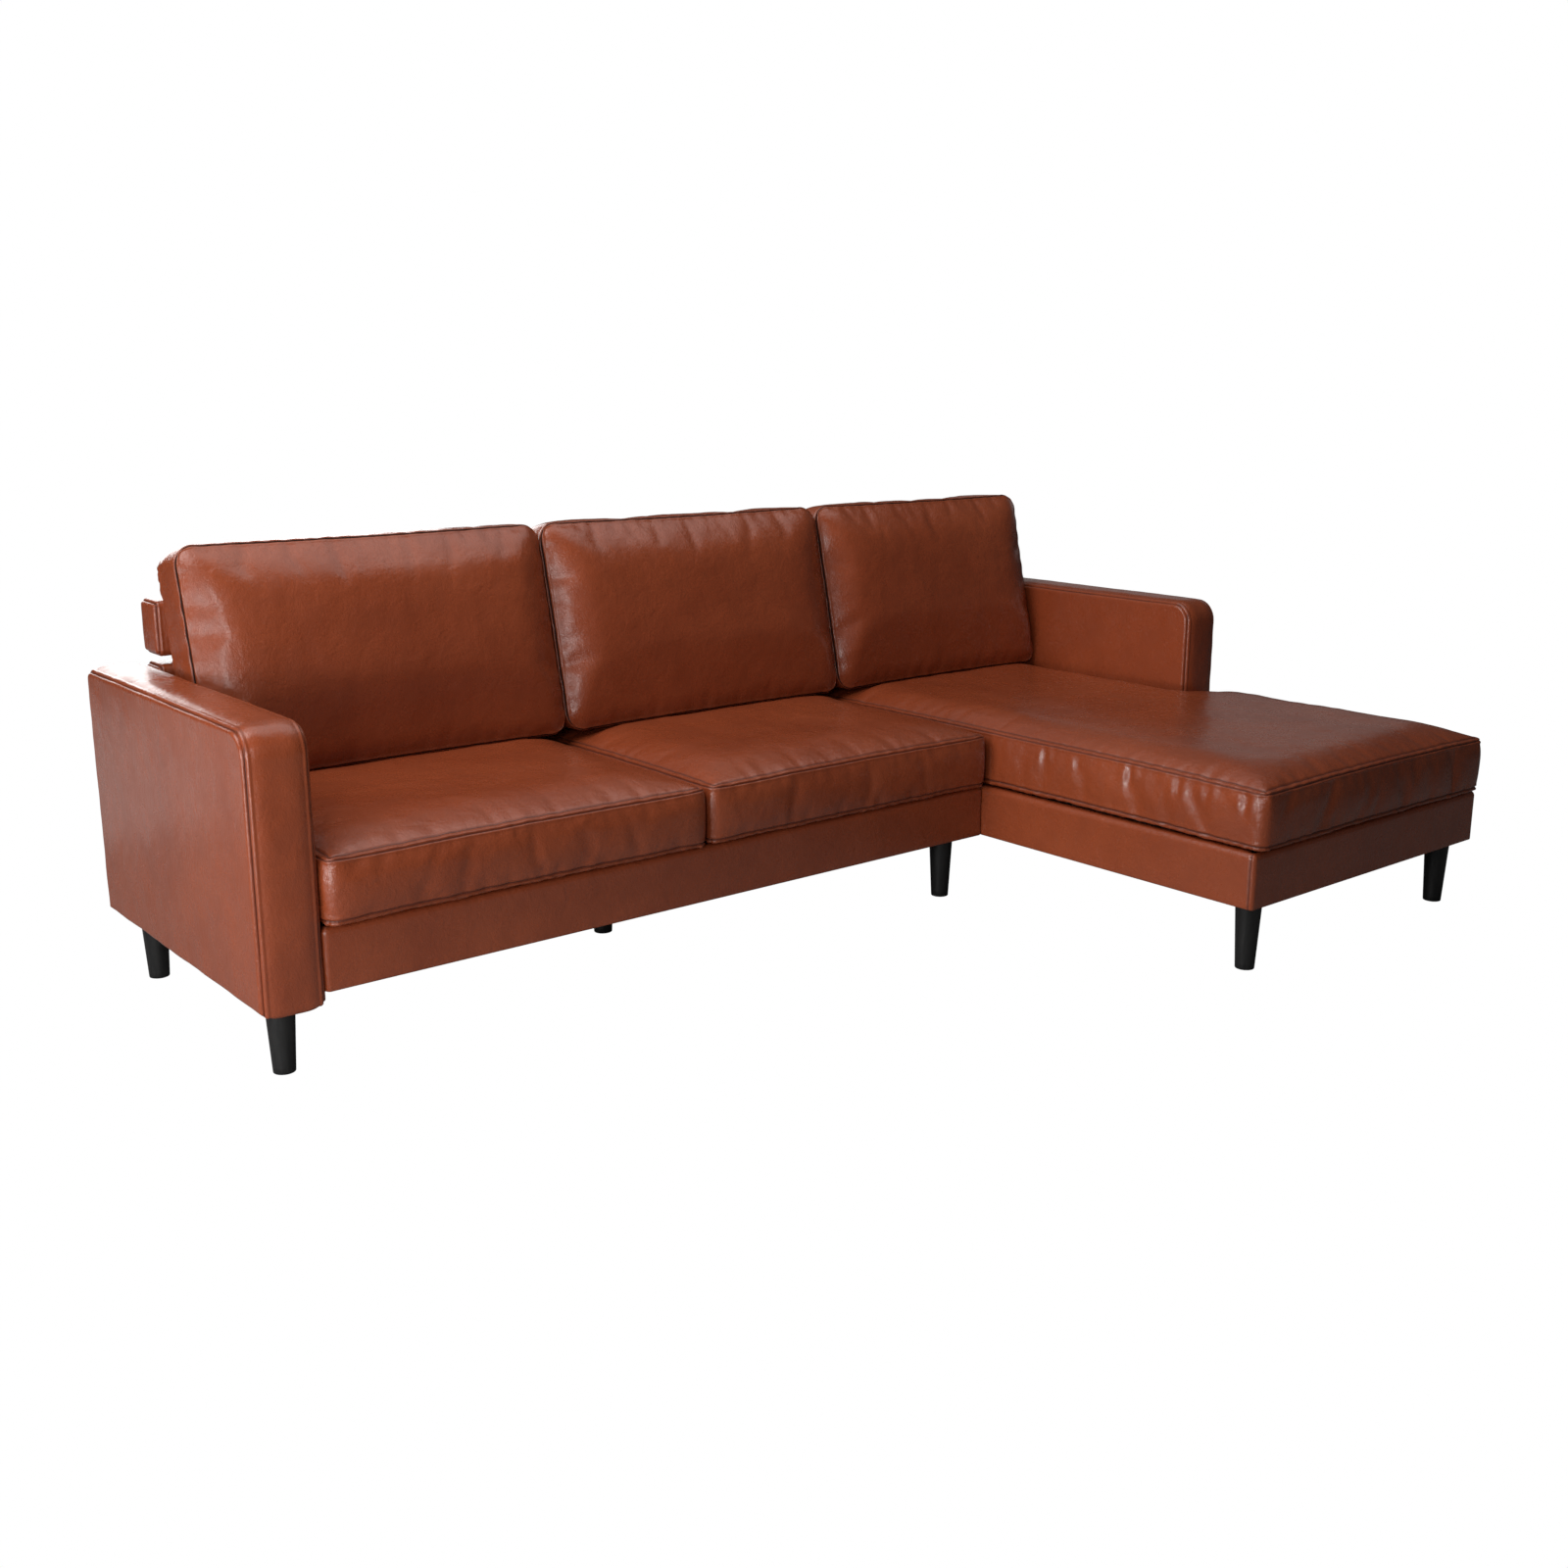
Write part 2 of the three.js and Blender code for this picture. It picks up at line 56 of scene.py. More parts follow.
camera_data.lens = 38.15
camera_data.sensor_width = 36
camera = bpy.data.objects.new("camera", camera_data)
camera.location = (-2.367, -2.7024, 1.2262)
camera.rotation_euler = (math.radians(76.312), 0, math.radians(-39.417))
bpy.context.scene.collection.objects.link(camera)
bpy.context.scene.camera = camera


# ---------------------------------------------------------------------------------------------
# Studio: a pale seamless floor and backdrop, narrow and low soft lights to the left, large ones
# overhead, and white panels behind and to the right that lay a sheen on the leather.
# ---------------------------------------------------------------------------------------------
def softbox(name, place, target, width, height, watts):
    """A rectangular area light that faces a target point."""
    data = bpy.data.lights.new(name, "AREA")
    data.shape = "RECTANGLE"
    data.size = width
    data.size_y = height
    data.energy = watts
    light = bpy.data.objects.new(name, data)
    light.location = place
    aim = Vector(target) - Vector(place)
    light.rotation_euler = aim.to_track_quat("-Z", "Y").to_euler()
    light.visible_camera = False
    bpy.context.scene.collection.objects.link(light)


def bright_to_the_eye(tree, plain, bright, end):
    """Shows the bright shader to the camera and the plain one to every other ray."""
    ray = tree.nodes.new("ShaderNodeLightPath")
    either = tree.nodes.new("ShaderNodeMixShader")
    tree.links.new(ray.outputs["Is Camera Ray"], either.inputs["Fac"])
    tree.links.new(plain.outputs[0], either.inputs[1])
    tree.links.new(bright.outputs[0], either.inputs[2])
    tree.links.new(either.outputs[0], end.inputs["Surface"])


softbox("front_left", (-2.75, -2.25, 1.30), (-0.2, 0.4, 0.6), 0.26, 1.5, 18)
softbox("low_left", (-3.1, -1.2, 0.8), (-0.2, -0.3, 0.35), 0.5, 0.8, 6)
softbox("far_left", (-5.6, -0.6, 0.75), (0.4, -0.5, 0.35), 1.2, 0.8, 58)
softbox("arm_side", (-2.3, -0.75, 0.40), (-1.2, 0.0, 0.30), 0.5, 0.6, 5.5)
softbox("top_left", (-2.5, 0.2, 3.0), (0.1, -0.1, 0.4), 2.0, 2.4, 61)
softbox("top", (0.3, 0.2, 3.4), (0.2, -0.1, 0.4), 3.4, 2.2, 31)
softbox("top_back", (0.8, 2.6, 3.0), (0.0, 0.0, 0.4), 3.0, 1.2, 2)
softbox("front_fill", (-1.0, -5.0, 3.2), (0.0, 0.0, 0.4), 4.0, 2.4, 5)
softbox("floor_board", (-2.4, 2.9, 0.03), (-2.4, 2.9, 3.0), 1.7, 2.4, 4.5)
softbox("back_panel", (0.0, 4.2, 1.5), (-0.6, 0.3, 0.5), 2.4, 1.4, 38)
softbox("right_panel", (4.2, 2.2, 1.4), (0.9, -0.3, 0.4), 2.4, 1.0, 1.7)

FLOOR_REACH = 40.0
floor_mesh = bpy.data.meshes.new("studio_floor")
floor_corners = [(x * FLOOR_REACH, y * FLOOR_REACH, 0) for x, y in ((-1, -1), (1, -1), (1, 1), (-1, 1))]
floor_mesh.from_pydata(floor_corners, [], [(0, 1, 2, 3)])
floor = bpy.data.objects.new("studio_floor", floor_mesh)
bpy.context.scene.collection.objects.link(floor)
floor_material = bpy.data.materials.new("pale_floor")
floor_material.use_nodes = True
floor_nodes = floor_material.node_tree.nodes
floor_surface = floor_nodes["Principled BSDF"]
floor_surface.inputs["Base Color"].default_value = (0.25, 0.25, 0.25, 1)
floor_surface.inputs["Roughness"].default_value = 0.9
floor_glow = floor_nodes.new("ShaderNodeEmission")
floor_glow.inputs["Color"].default_value = (1, 1, 1, 1)
bright_to_the_eye(floor_material.node_tree, floor_surface, floor_glow, floor_nodes["Material Output"])
floor_mesh.materials.append(floor_material)

world = bpy.data.worlds.new("studio")
world.use_nodes = True
bpy.context.scene.world = world
world_nodes = world.node_tree.nodes
fill = world_nodes["Background"]
fill.inputs["Color"].default_value = (1, 1, 1, 1)
fill.inputs["Strength"].default_value = 0.04
backdrop = world_nodes.new("ShaderNodeBackground")
backdrop.inputs["Color"].default_value = (1, 1, 1, 1)
backdrop.inputs["Strength"].default_value = 1.0
bright_to_the_eye(world.node_tree, fill, backdrop, world_nodes["World Output"])
bpy.context.scene.view_settings.view_transform = "Standard"


# ---------------------------------------------------------------------------------------------
# Legs: beech turned to a plain taper and stained black, with a small chamfer at the foot.
# Each one is screwed up into the rail above it through a square plate, which is not made here.
# ---------------------------------------------------------------------------------------------
def shader(name, base, roughness):
    """A new material and its main shader, with one base colour and roughness to start from."""
    material = bpy.data.materials.new(name)
    material.use_nodes = True
    surface = material.node_tree.nodes["Principled BSDF"]
    surface.inputs["Base Color"].default_value = (*base, 1)
    surface.inputs["Roughness"].default_value = roughness
    return material, surface


def node(material, kind, **values):
    """A node with its properties and input values set by name."""
    made = material.node_tree.nodes.new("ShaderNode" + kind)
    for key, value in values.items():
        if hasattr(made, key):
            setattr(made, key, value)
        else:
            made.inputs[key.replace("_", " ")].default_value = value
    return made


def wire(material, output, socket):
    material.node_tree.links.new(output, socket)


def place_of(material, stretch=(1, 1, 1), turn=(0, 0, 0)):
    """The point on the piece in metres, turned and stretched, for patterns fixed to the piece."""
    place = node(material, "TexCoord")
    mapping = node(material, "Mapping")
    mapping.inputs["Scale"].default_value = stretch
    mapping.inputs["Rotation"].default_value = turn
    wire(material, place.outputs["Object"], mapping.inputs["Vector"])
    return mapping.outputs["Vector"]


def noise(material, place, scale, detail=3.0, roughness=0.5, distortion=0.0):
    made = node(material, "TexNoise", Scale=scale, Detail=detail, Roughness=roughness)
    made.inputs["Distortion"].default_value = distortion
    wire(material, place, made.inputs["Vector"])
    return made.outputs["Fac"]


def spread(material, value, low, high, from_low=0.3, from_high=0.7):
    """Maps a pattern's middle range onto low..high."""
    made = node(material, "MapRange")
    made.inputs["From Min"].default_value = from_low
    made.inputs["From Max"].default_value = from_high
    made.inputs["To Min"].default_value = low
    made.inputs["To Max"].default_value = high
    wire(material, value, made.inputs["Value"])
    return made.outputs["Result"]


def tint_between(material, factor, first, second):
    """A colour that runs from first to second with a pattern; each is a colour or a node's output."""
    made = node(material, "Mix", data_type="RGBA")
    sockets = [socket for socket in made.inputs if socket.type == "RGBA"]
    for colour, socket in zip((first, second), sockets):
        if isinstance(colour, tuple):
            socket.default_value = (*colour, 1)
        else:
            wire(material, colour, socket)
    wire(material, factor, made.inputs["Factor"])
    return [socket for socket in made.outputs if socket.type == "RGBA"][0]


def emboss(material, height, distance, strength=1.0, below=None):
    """A bump of a stated height in metres, laid over the bump below it."""
    made = node(material, "Bump", Strength=strength, Distance=distance)
    wire(material, height, made.inputs["Height"])
    if below is not None:
        wire(material, below, made.inputs["Normal"])
    return made.outputs["Normal"]


def stained_wood(name, dark, light, roughness, grain=(14, 14, 1.2)):
    """Open grain drawn out along the piece's length."""
    material, surface = shader(name, light, roughness)
    place = place_of(material, grain)
    figure = noise(material, place, 9, detail=6, roughness=0.6, distortion=0.8)
    colour = tint_between(material, spread(material, figure, 0, 1), dark, light)
    wire(material, colour, surface.inputs["Base Color"])
    pores = noise(material, place, 60, detail=3)
    wire(material, spread(material, pores, roughness - 0.08, roughness + 0.1), surface.inputs["Roughness"])
    wire(material, emboss(material, pores, 0.0003, 0.6), surface.inputs["Normal"])
    return material


def raw_piece(name, points, faces, material):
    """A smooth piece from points in their given order, so that loops stay known by number."""
    mesh = bpy.data.meshes.new(name)
    mesh.from_pydata(np.asarray(points, float).reshape(-1, 3).tolist(), [], [tuple(f) for f in faces])
    mesh.polygons.foreach_set("use_smooth", np.ones(len(mesh.polygons), bool))
    mesh.materials.append(material)
    piece = bpy.data.objects.new(name, mesh)
    bpy.context.scene.collection.objects.link(piece)
    return piece


def new_piece(name, points, faces, material):
    """A closed smooth piece with doubled points merged and its faces turned outwards."""
    piece = raw_piece(name, points, faces, material)
    work = bmesh.new()
    work.from_mesh(piece.data)
    bmesh.ops.remove_doubles(work, verts=work.verts, dist=1e-5)
    bmesh.ops.recalc_face_normals(work, faces=work.faces)
    work.to_mesh(piece.data)
    work.free()
    return piece


def strip_faces(rings, around):
    """Quads between neighbouring closed rings of a grid with rings x around points."""
    ring, point = np.meshgrid(np.arange(rings - 1), np.arange(around), indexing="ij")
    ahead = (point + 1) % around
    here, beyond = ring * around, (ring + 1) * around
    corners = [here + point, here + ahead, beyond + ahead, beyond + point]
    return np.stack(corners, -1).reshape(-1, 4)


def turned(profile, sides):
    """Radius and height pairs spun round Z: x = r cos a, y = r sin a. Ends sit on the axis."""
    profile = np.asarray(profile, float)
    angle = np.linspace(0, 2 * np.pi, sides, endpoint=False)
    radius, height = profile[:, :1], profile[:, 1:]
    points = np.stack([radius * np.cos(angle), radius * np.sin(angle), height + 0 * angle], -1)
    return points.reshape(-1, 3), strip_faces(len(profile), sides)


black_stain = stained_wood("black_stained_wood", (0.006, 0.006, 0.006), (0.018, 0.0175, 0.017), 0.42)
FOOT_RADIUS = 0.0205
FOOT_CHAMFER = 0.0015
LEG_GROWTH = 0.052  # how fast the radius grows on the way up
GLIDE_RADIUS = 0.011

for leg in [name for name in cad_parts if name.startswith("leg_")]:
    low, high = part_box(leg)
    top = high.z
    plate = (high.x - low.x) / 2
    shoulder = FOOT_RADIUS + LEG_GROWTH * (top - 0.004)
    outline = [(0, 0), (GLIDE_RADIUS, 0)]
    outline += [(FOOT_RADIUS - FOOT_CHAMFER, 0.0002), (FOOT_RADIUS - 0.0004, 0.0006)]
    outline += [(FOOT_RADIUS + LEG_GROWTH * z, z) for z in np.linspace(FOOT_CHAMFER, top - 0.006, 12)]
    outline += [(shoulder, top - 0.004), (shoulder - 0.001, top - 0.003), (0, top - 0.003)]
    points, faces = turned(outline, 72)
    middle = ((low.x + high.x) / 2, (low.y + high.y) / 2, 0)
    piece = new_piece(leg.replace("leg_", "turned_leg_"), points + np.array(middle), faces, black_stain)
    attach(piece, "frame")
    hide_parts(leg)


# ---------------------------------------------------------------------------------------------
# Frame, webbing and dust covers: planed softwood rails and posts, black painted steel brackets,
# woven elastic straps and a thin black non-woven cloth. They stay as they were cut.
# ---------------------------------------------------------------------------------------------
softwood = stained_wood("planed_softwood", (0.44, 0.27, 0.13), (0.74, 0.55, 0.33), 0.62, grain=(2, 9, 9))

bracket_paint, bracket_surface = shader("black_steel", (0.03, 0.03, 0.032), 0.42)
bracket_surface.inputs["Metallic"].default_value = 0.6
bracket_place = place_of(bracket_paint)
bracket_mottle = noise(bracket_paint, bracket_place, 900, detail=2)
wire(bracket_paint, spread(bracket_paint, bracket_mottle, 0.36, 0.5), bracket_surface.inputs["Roughness"])
wire(bracket_paint, emboss(bracket_paint, bracket_mottle, 0.0002), bracket_surface.inputs["Normal"])


def woven_cloth(name, dark, light, pitch, roughness):
    """Threads crossing at right angles: two rows of waves, one along X and one along Y."""
    material, surface = shader(name, dark, roughness)
    place = place_of(material)
    warp = node(material, "TexWave", Scale=1 / pitch, bands_direction="X")
    weft = node(material, "TexWave", Scale=1 / pitch, bands_direction="Y")
    wire(material, place, warp.inputs["Vector"])
    wire(material, place, weft.inputs["Vector"])
    cross = node(material, "Math", operation="MULTIPLY")
    wire(material, warp.outputs["Fac"], cross.inputs[0])
    wire(material, weft.outputs["Fac"], cross.inputs[1])
    fluff = noise(material, place, 140)
    wire(material, tint_between(material, fluff, dark, light), surface.inputs["Base Color"])
    wire(material, emboss(material, cross.outputs[0], 0.0006), surface.inputs["Normal"])
    surface.inputs["Sheen Weight"].default_value = 0.15
    return material


webbing_cloth = woven_cloth("elastic_webbing", (0.02, 0.02, 0.022), (0.06, 0.06, 0.065), 0.02, 0.85)
dust_cloth = woven_cloth("dust_cloth", (0.012, 0.012, 0.012), (0.03, 0.03, 0.03), 0.012, 0.95)
finishes = {"rail": softwood, "post": softwood, "core": softwood, "bracket": bracket_paint}
finishes.update({"webbing": webbing_cloth, "dust_cover": dust_cloth})
for name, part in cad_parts.items():
    for word, finish in finishes.items():
        if word in name.replace("rest_rail_bracket", "bracket"):
            part.data.materials.clear()
            part.data.materials.append(finish)


# ---------------------------------------------------------------------------------------------
# Arms: corrected-grain leather over wadding on a box frame. Two flat side panels are sewn to one
# strip that runs up the front, over the top and down the back; at each edge the seam sits
# between two soft rolls.
# ---------------------------------------------------------------------------------------------
LEATHER_DEEP = (0.145, 0.028, 0.0095)
LEATHER_MAIN = (0.282, 0.055, 0.018)
LEATHER_LIGHT = (0.36, 0.077, 0.027)
# painted shade: the dark colour laid along the seam grooves
SEAM_SHADE_COLOUR = (0.095, 0.017, 0.006)


def leather(name, stretch=(1, 1, 1), crease=1.0):
    """Cognac leather: cloudy dye, a fine pebble grain, soft creases and a satin finish coat, with painted
    shade darkening it along the seams.
    """
    material, surface = shader(name, LEATHER_MAIN, 0.4)
    place = place_of(material)
    drawn = place_of(material, stretch)
    clouds = noise(material, place, 3.2, detail=4, roughness=0.55, distortion=0.4)
    patches = noise(material, place, 17, detail=5, roughness=0.62, distortion=0.3)
    base = tint_between(material, spread(material, clouds, 0, 1), LEATHER_MAIN, LEATHER_LIGHT)
    flecks = spread(material, patches, 0.0, 0.16, 0.42, 0.72)
    flecked = tint_between(material, flecks, base, LEATHER_DEEP)
    # painted shade: the leather darkens towards the seam shade colour where the seam attribute is high, in
    # the grooves
    seam = node(material, "Attribute", attribute_name="seam")
    shaded = tint_between(material, seam.outputs["Fac"], flecked, SEAM_SHADE_COLOUR)
    wire(material, shaded, surface.inputs["Base Color"])
    worn = node(material, "Math", operation="MULTIPLY_ADD", use_clamp=True)
    wire(material, seam.outputs["Fac"], worn.inputs[0])
    worn.inputs[1].default_value = 0.4
    wire(material, spread(material, patches, 0.23, 0.33), worn.inputs[2])
    wire(material, worn.outputs[0], surface.inputs["Roughness"])

    pebble = node(material, "TexVoronoi", Scale=420, feature="SMOOTH_F1")
    wire(material, place, pebble.inputs["Vector"])
    grain = emboss(material, pebble.outputs["Distance"], 0.0005, 0.5)
    fine = noise(material, drawn, 120, detail=6, roughness=0.68, distortion=0.5)
    creased = emboss(material, fine, 0.0018 * crease, 0.8, below=grain)
    slant = place_of(material, (1, 0.2, 0.5), (0.5, 0.35, 0.6))
    brushed = noise(material, slant, 210, detail=3, roughness=0.6, distortion=0.6)
    creased = emboss(material, brushed, 0.0010 * crease, 0.8, below=creased)
    broad = noise(material, drawn, 22, detail=3, roughness=0.5, distortion=0.8)
    rolling = emboss(material, broad, 0.0045 * crease, 0.8, below=creased)
    wire(material, rolling, surface.inputs["Normal"])
    surface.inputs["IOR"].default_value = 1.5
    surface.inputs["Coat Weight"].default_value = 0.35
    surface.inputs["Coat Roughness"].default_value = 0.22
    return material


def rounded_loops(a, b, radii, insets, per_side, per_corner):
    """Closed outlines of one rounded rectangle, each moved inwards by its own inset.

    The corners are quarter circles whose radius shrinks with the inset; straight runs between
    them are divided evenly. Returns an array of insets x points x 2.
    """
    inset = np.asarray(insets, float)[:, None]
    corners = [(a[0], b[0], 1, 1), (a[1], b[0], -1, 1), (a[1], b[1], -1, -1), (a[0], b[1], 1, -1)]
    arcs = []
    for number, (corner_a, corner_b, side_a, side_b) in enumerate(corners):
        radius = np.maximum(radii[number] - inset, 0)
        angle = np.pi * (1 + number / 2) + np.linspace(0, np.pi / 2, per_corner + 1)[None]
        centre_a = corner_a + side_a * (inset + radius)
        centre_b = corner_b + side_b * (inset + radius)
        arcs.append(np.stack([centre_a + radius * np.cos(angle), centre_b + radius * np.sin(angle)], -1))
    runs = []
    for number, arc in enumerate(arcs):
        following = arcs[(number + 1) % 4]
        steps = np.linspace(0, 1, per_side[number % 2] + 1)[1:-1][None, :, None]
        runs += [arc, arc[:, -1:] + steps * (following[:, :1] - arc[:, -1:])]
    return np.concatenate(runs, 1)


def roll(centre_inset, centre_height, radius, start, end, steps=6):
    """Stations round a quarter roll, as inset and height, from angle start to end in degrees."""
    angle = np.radians(np.linspace(start, end, steps))
    return [(centre_inset - radius * math.sin(t), centre_height + radius * math.cos(t)) for t in angle]


BEAD_STEP = 0.0006  # how far the strip lies below its bead
BEAD_GAP = 2.15
SEAM_SINK = 1.3  # the bottom of the seam, in from both sides of the corner, in bead radii


def half_block(depth, reach, crown, roll_radius):
    """Stations from the middle of an end panel, over the seamed edge, to the middle of the strip.

    The panel ends in a bead that turns down into the seam, and a second bead turns out of it:
    two circles of one radius r whose centres lie BEAD_GAP r from the corner along one side and r
    along the other. The strip beyond the bead rises by the crown as 1 - t^4.
    """
    r = roll_radius
    panel = [(inset, depth) for inset in np.linspace(reach, BEAD_GAP * r + 0.003, 22)]
    first = roll(BEAD_GAP * r, depth - r, r, 0, 98, 9)
    bottom = SEAM_SINK * r
    crease = [(bottom, depth - bottom)]
    width = depth - BEAD_GAP * r
    second = roll(r, width, r, -8, 90, 9)
    step = [(BEAD_STEP, width - 0.0026)]
    beyond = width - 0.0042
    strip = [(-crown * (1 - t**4), beyond * t) for t in np.linspace(1, 0, 14)]
    return panel + first + crease + second + step + strip


def soft_noise(points, wavelength, seed, waves=14):
    """Gentle random swell: the sum of plane waves in random directions, about -1 to 1."""
    draw = np.random.default_rng(seed)
    direction = draw.normal(size=(waves, points.shape[-1]))
    direction /= np.linalg.norm(direction, axis=1, keepdims=True)
    length = wavelength * draw.uniform(0.75, 1.35, waves)
    phase = draw.uniform(0, 2 * np.pi, waves)
    turns = points @ (direction / length[:, None]).T
    return np.cos(turns * 2 * np.pi + phase).sum(-1) * math.sqrt(2 / waves) / 2


def read_points(mesh, field="co"):
    values = np.empty(len(mesh.vertices) * 3)
    mesh.vertices.foreach_get(field, values)
    return values.reshape(-1, 3)


def write_points(mesh, places):
    mesh.vertices.foreach_set("co", np.ascontiguousarray(places).ravel())
    mesh.update()


def bump_at(distance, centre, width):
    """A bell curve: e to the minus square of the distance from the centre over the width."""
    return np.exp(-(((distance - centre) / width) ** 2))


def set_seam_shade(piece, values):
    """Stores how close each point is to a seam, 0 to 1, for the leather to darken by as painted shade in
    the seam groove.
    """
    store = piece.data.attributes.new("seam", "FLOAT", "POINT")
    store.data.foreach_set("value", np.asarray(values, np.float32))


def upholstered_block(name, a, b, h, order, radii, material, crown, roll_radius, per_side, seed,
                      panel_swell=0.0025):
    """A wadded block: an outline in a and b with a seamed edge at each end of h.

    Stations run from the middle of one end panel to the middle of the other. The panels swell
    as the product of 1 - t^2 each way, and the whole surface carries a gentle random swell.
    """
    depth = (h[1] - h[0]) / 2
    reach = min(a[1] - a[0], b[1] - b[0]) / 2
    half = half_block(depth, reach, crown, roll_radius)
    stations = np.array(half + [(inset, -height) for inset, height in reversed(half[:-1])])
    outline = rounded_loops(a, b, radii, stations[:, 0], per_side, 8)
    u = (2 * outline[..., 0] - a[0] - a[1]) / (a[1] - a[0])
    v = (2 * outline[..., 1] - b[0] - b[1]) / (b[1] - b[0])
    height = stations[:, 1][:, None]
    swell = panel_swell * np.clip(1 - u**2, 0, 1) * np.clip(1 - v**2, 0, 1)
    swell = swell * (np.abs(height) > depth - 0.003)
    height = height + np.sign(height) * swell
    level = np.broadcast_to(height + (h[0] + h[1]) / 2, outline.shape[:2])
    block = np.concatenate([outline, level[..., None]], -1)
    points = np.empty_like(block)
    for axis, letter in enumerate(order):
        points[..., "XYZ".index(letter)] = block[..., axis]
    rings, around = points.shape[:2]
    piece = new_piece(name, points, strip_faces(rings, around), material)

    places, normals = read_points(piece.data), read_points(piece.data, "normal")
    wander = 0.0007 * soft_noise(places, 0.16, seed) + 0.0003 * soft_noise(places, 0.05, seed + 1)
    places += normals * wander[:, None]
    along = places[:, "XYZ".index(order[2])] - (h[0] + h[1]) / 2
    a_now, b_now = places[:, "XYZ".index(order[0])], places[:, "XYZ".index(order[1])]
    edge = np.minimum.reduce([a_now - a[0], a[1] - a_now, b_now - b[0], b[1] - b_now])
    sink = SEAM_SINK * roll_radius
    off = np.hypot(depth - np.abs(along) - sink, edge - sink)
    write_points(piece.data, places)
    # painted shade: the leather darkens along the seam groove between the beads
    set_seam_shade(piece, bump_at(off, 0, 0.0026))
    return piece


arm_leather = leather("arm_leather", stretch=(1, 1, 0.6), crease=0.5)
ARM_ROLL = 0.0058
for side, seed in (("left", 11), ("right", 12)):
    low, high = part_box(f"{side}_arm_cover")
    arm = upholstered_block(
        f"{side}_arm", (low.y, high.y), (low.z, high.z - 0.002), (low.x, high.x), "YZX",
        (0.006, 0.006, 0.022, 0.052), arm_leather, 0.0045, ARM_ROLL, (150, 100), seed,
    )
    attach(arm, "frame")
    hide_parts(f"{side}_arm_cover")


# ---------------------------------------------------------------------------------------------
# Bases: one leather band pulled round the front of each base, over the top edge and under the
# bottom, stapled to the rails. The chaise band has a seam on its side just before each corner.
# ---------------------------------------------------------------------------------------------
def rounded_path(corners, radii, spacing):
    """A plan line with its corners rounded, and the outward normal at every point.

    Straight runs are divided to the spacing; each corner is an arc tangent to both runs.
    """
    corners = [np.array(corner, float) for corner in corners]
    places, normals = [], []
    start = corners[0]
    for number in range(1, len(corners)):
        before = corners[number] - corners[number - 1]
        before /= np.linalg.norm(before)
        outward = np.array([before[1], -before[0]])
        last = number == len(corners) - 1
        radius = 0 if last else radii[number - 1]
        stop = corners[number] - before * radius
        count = max(2, int(np.linalg.norm(stop - start) / spacing))
        share = np.linspace(0, 1, count)[:, None]
        places.append(start + share * (stop - start))
        normals.append(np.repeat(outward[None], count, 0))
        if last:
            break
        after = corners[number + 1] - corners[number]
        after /= np.linalg.norm(after)
        left_turn = before[0] * after[1] - before[1] * after[0] > 0
        side = -outward if left_turn else outward
        centre = stop + side * radius
        turn = np.radians(np.linspace(0, 90, 10)[1:-1])[:, None] * (1 if left_turn else -1)
        from_centre = stop - centre
        square = np.array([-from_centre[1], from_centre[0]])
        arc = from_centre * np.cos(turn) + square * np.sin(turn)
        places.append(centre + arc)
        normals.append(arc / radius * (1 if left_turn else -1))
        start = centre + (square if left_turn else -square)
    return np.concatenate(places), np.concatenate(normals)


def band_section(bottom, top, lip, thickness=0.0025, edge=0.013):
    """Section of a stapled band as outward offset and height: up the face, round the top edge
    and inwards over the rail, then back along its inner side, a hide's thickness below."""
    angle = np.radians(np.linspace(0, 90, 8))
    face = [(0, z) for z in np.linspace(bottom + 0.004, top - edge, 12)]
    shoulder = [(-edge + edge * math.cos(t), top - edge + edge * math.sin(t)) for t in angle[1:]]
    cover = [(offset, top) for offset in np.linspace(-edge - 0.004, -lip, 4)]
    inner_edge = edge - thickness
    inside = [(-lip, top - thickness), (-edge - 0.002, top - thickness)]
    inside += [
        (-edge + inner_edge * math.cos(t), top - edge + inner_edge * math.sin(t)) for t in angle[::-1]
    ]
    inside += [(-thickness, bottom + 0.006), (-0.012, bottom + thickness), (-0.012, bottom)]
    turn_under = [(-0.003, bottom), (-0.0008, bottom + 0.0012)]
    return np.array(turn_under + face + shoulder + cover + inside)


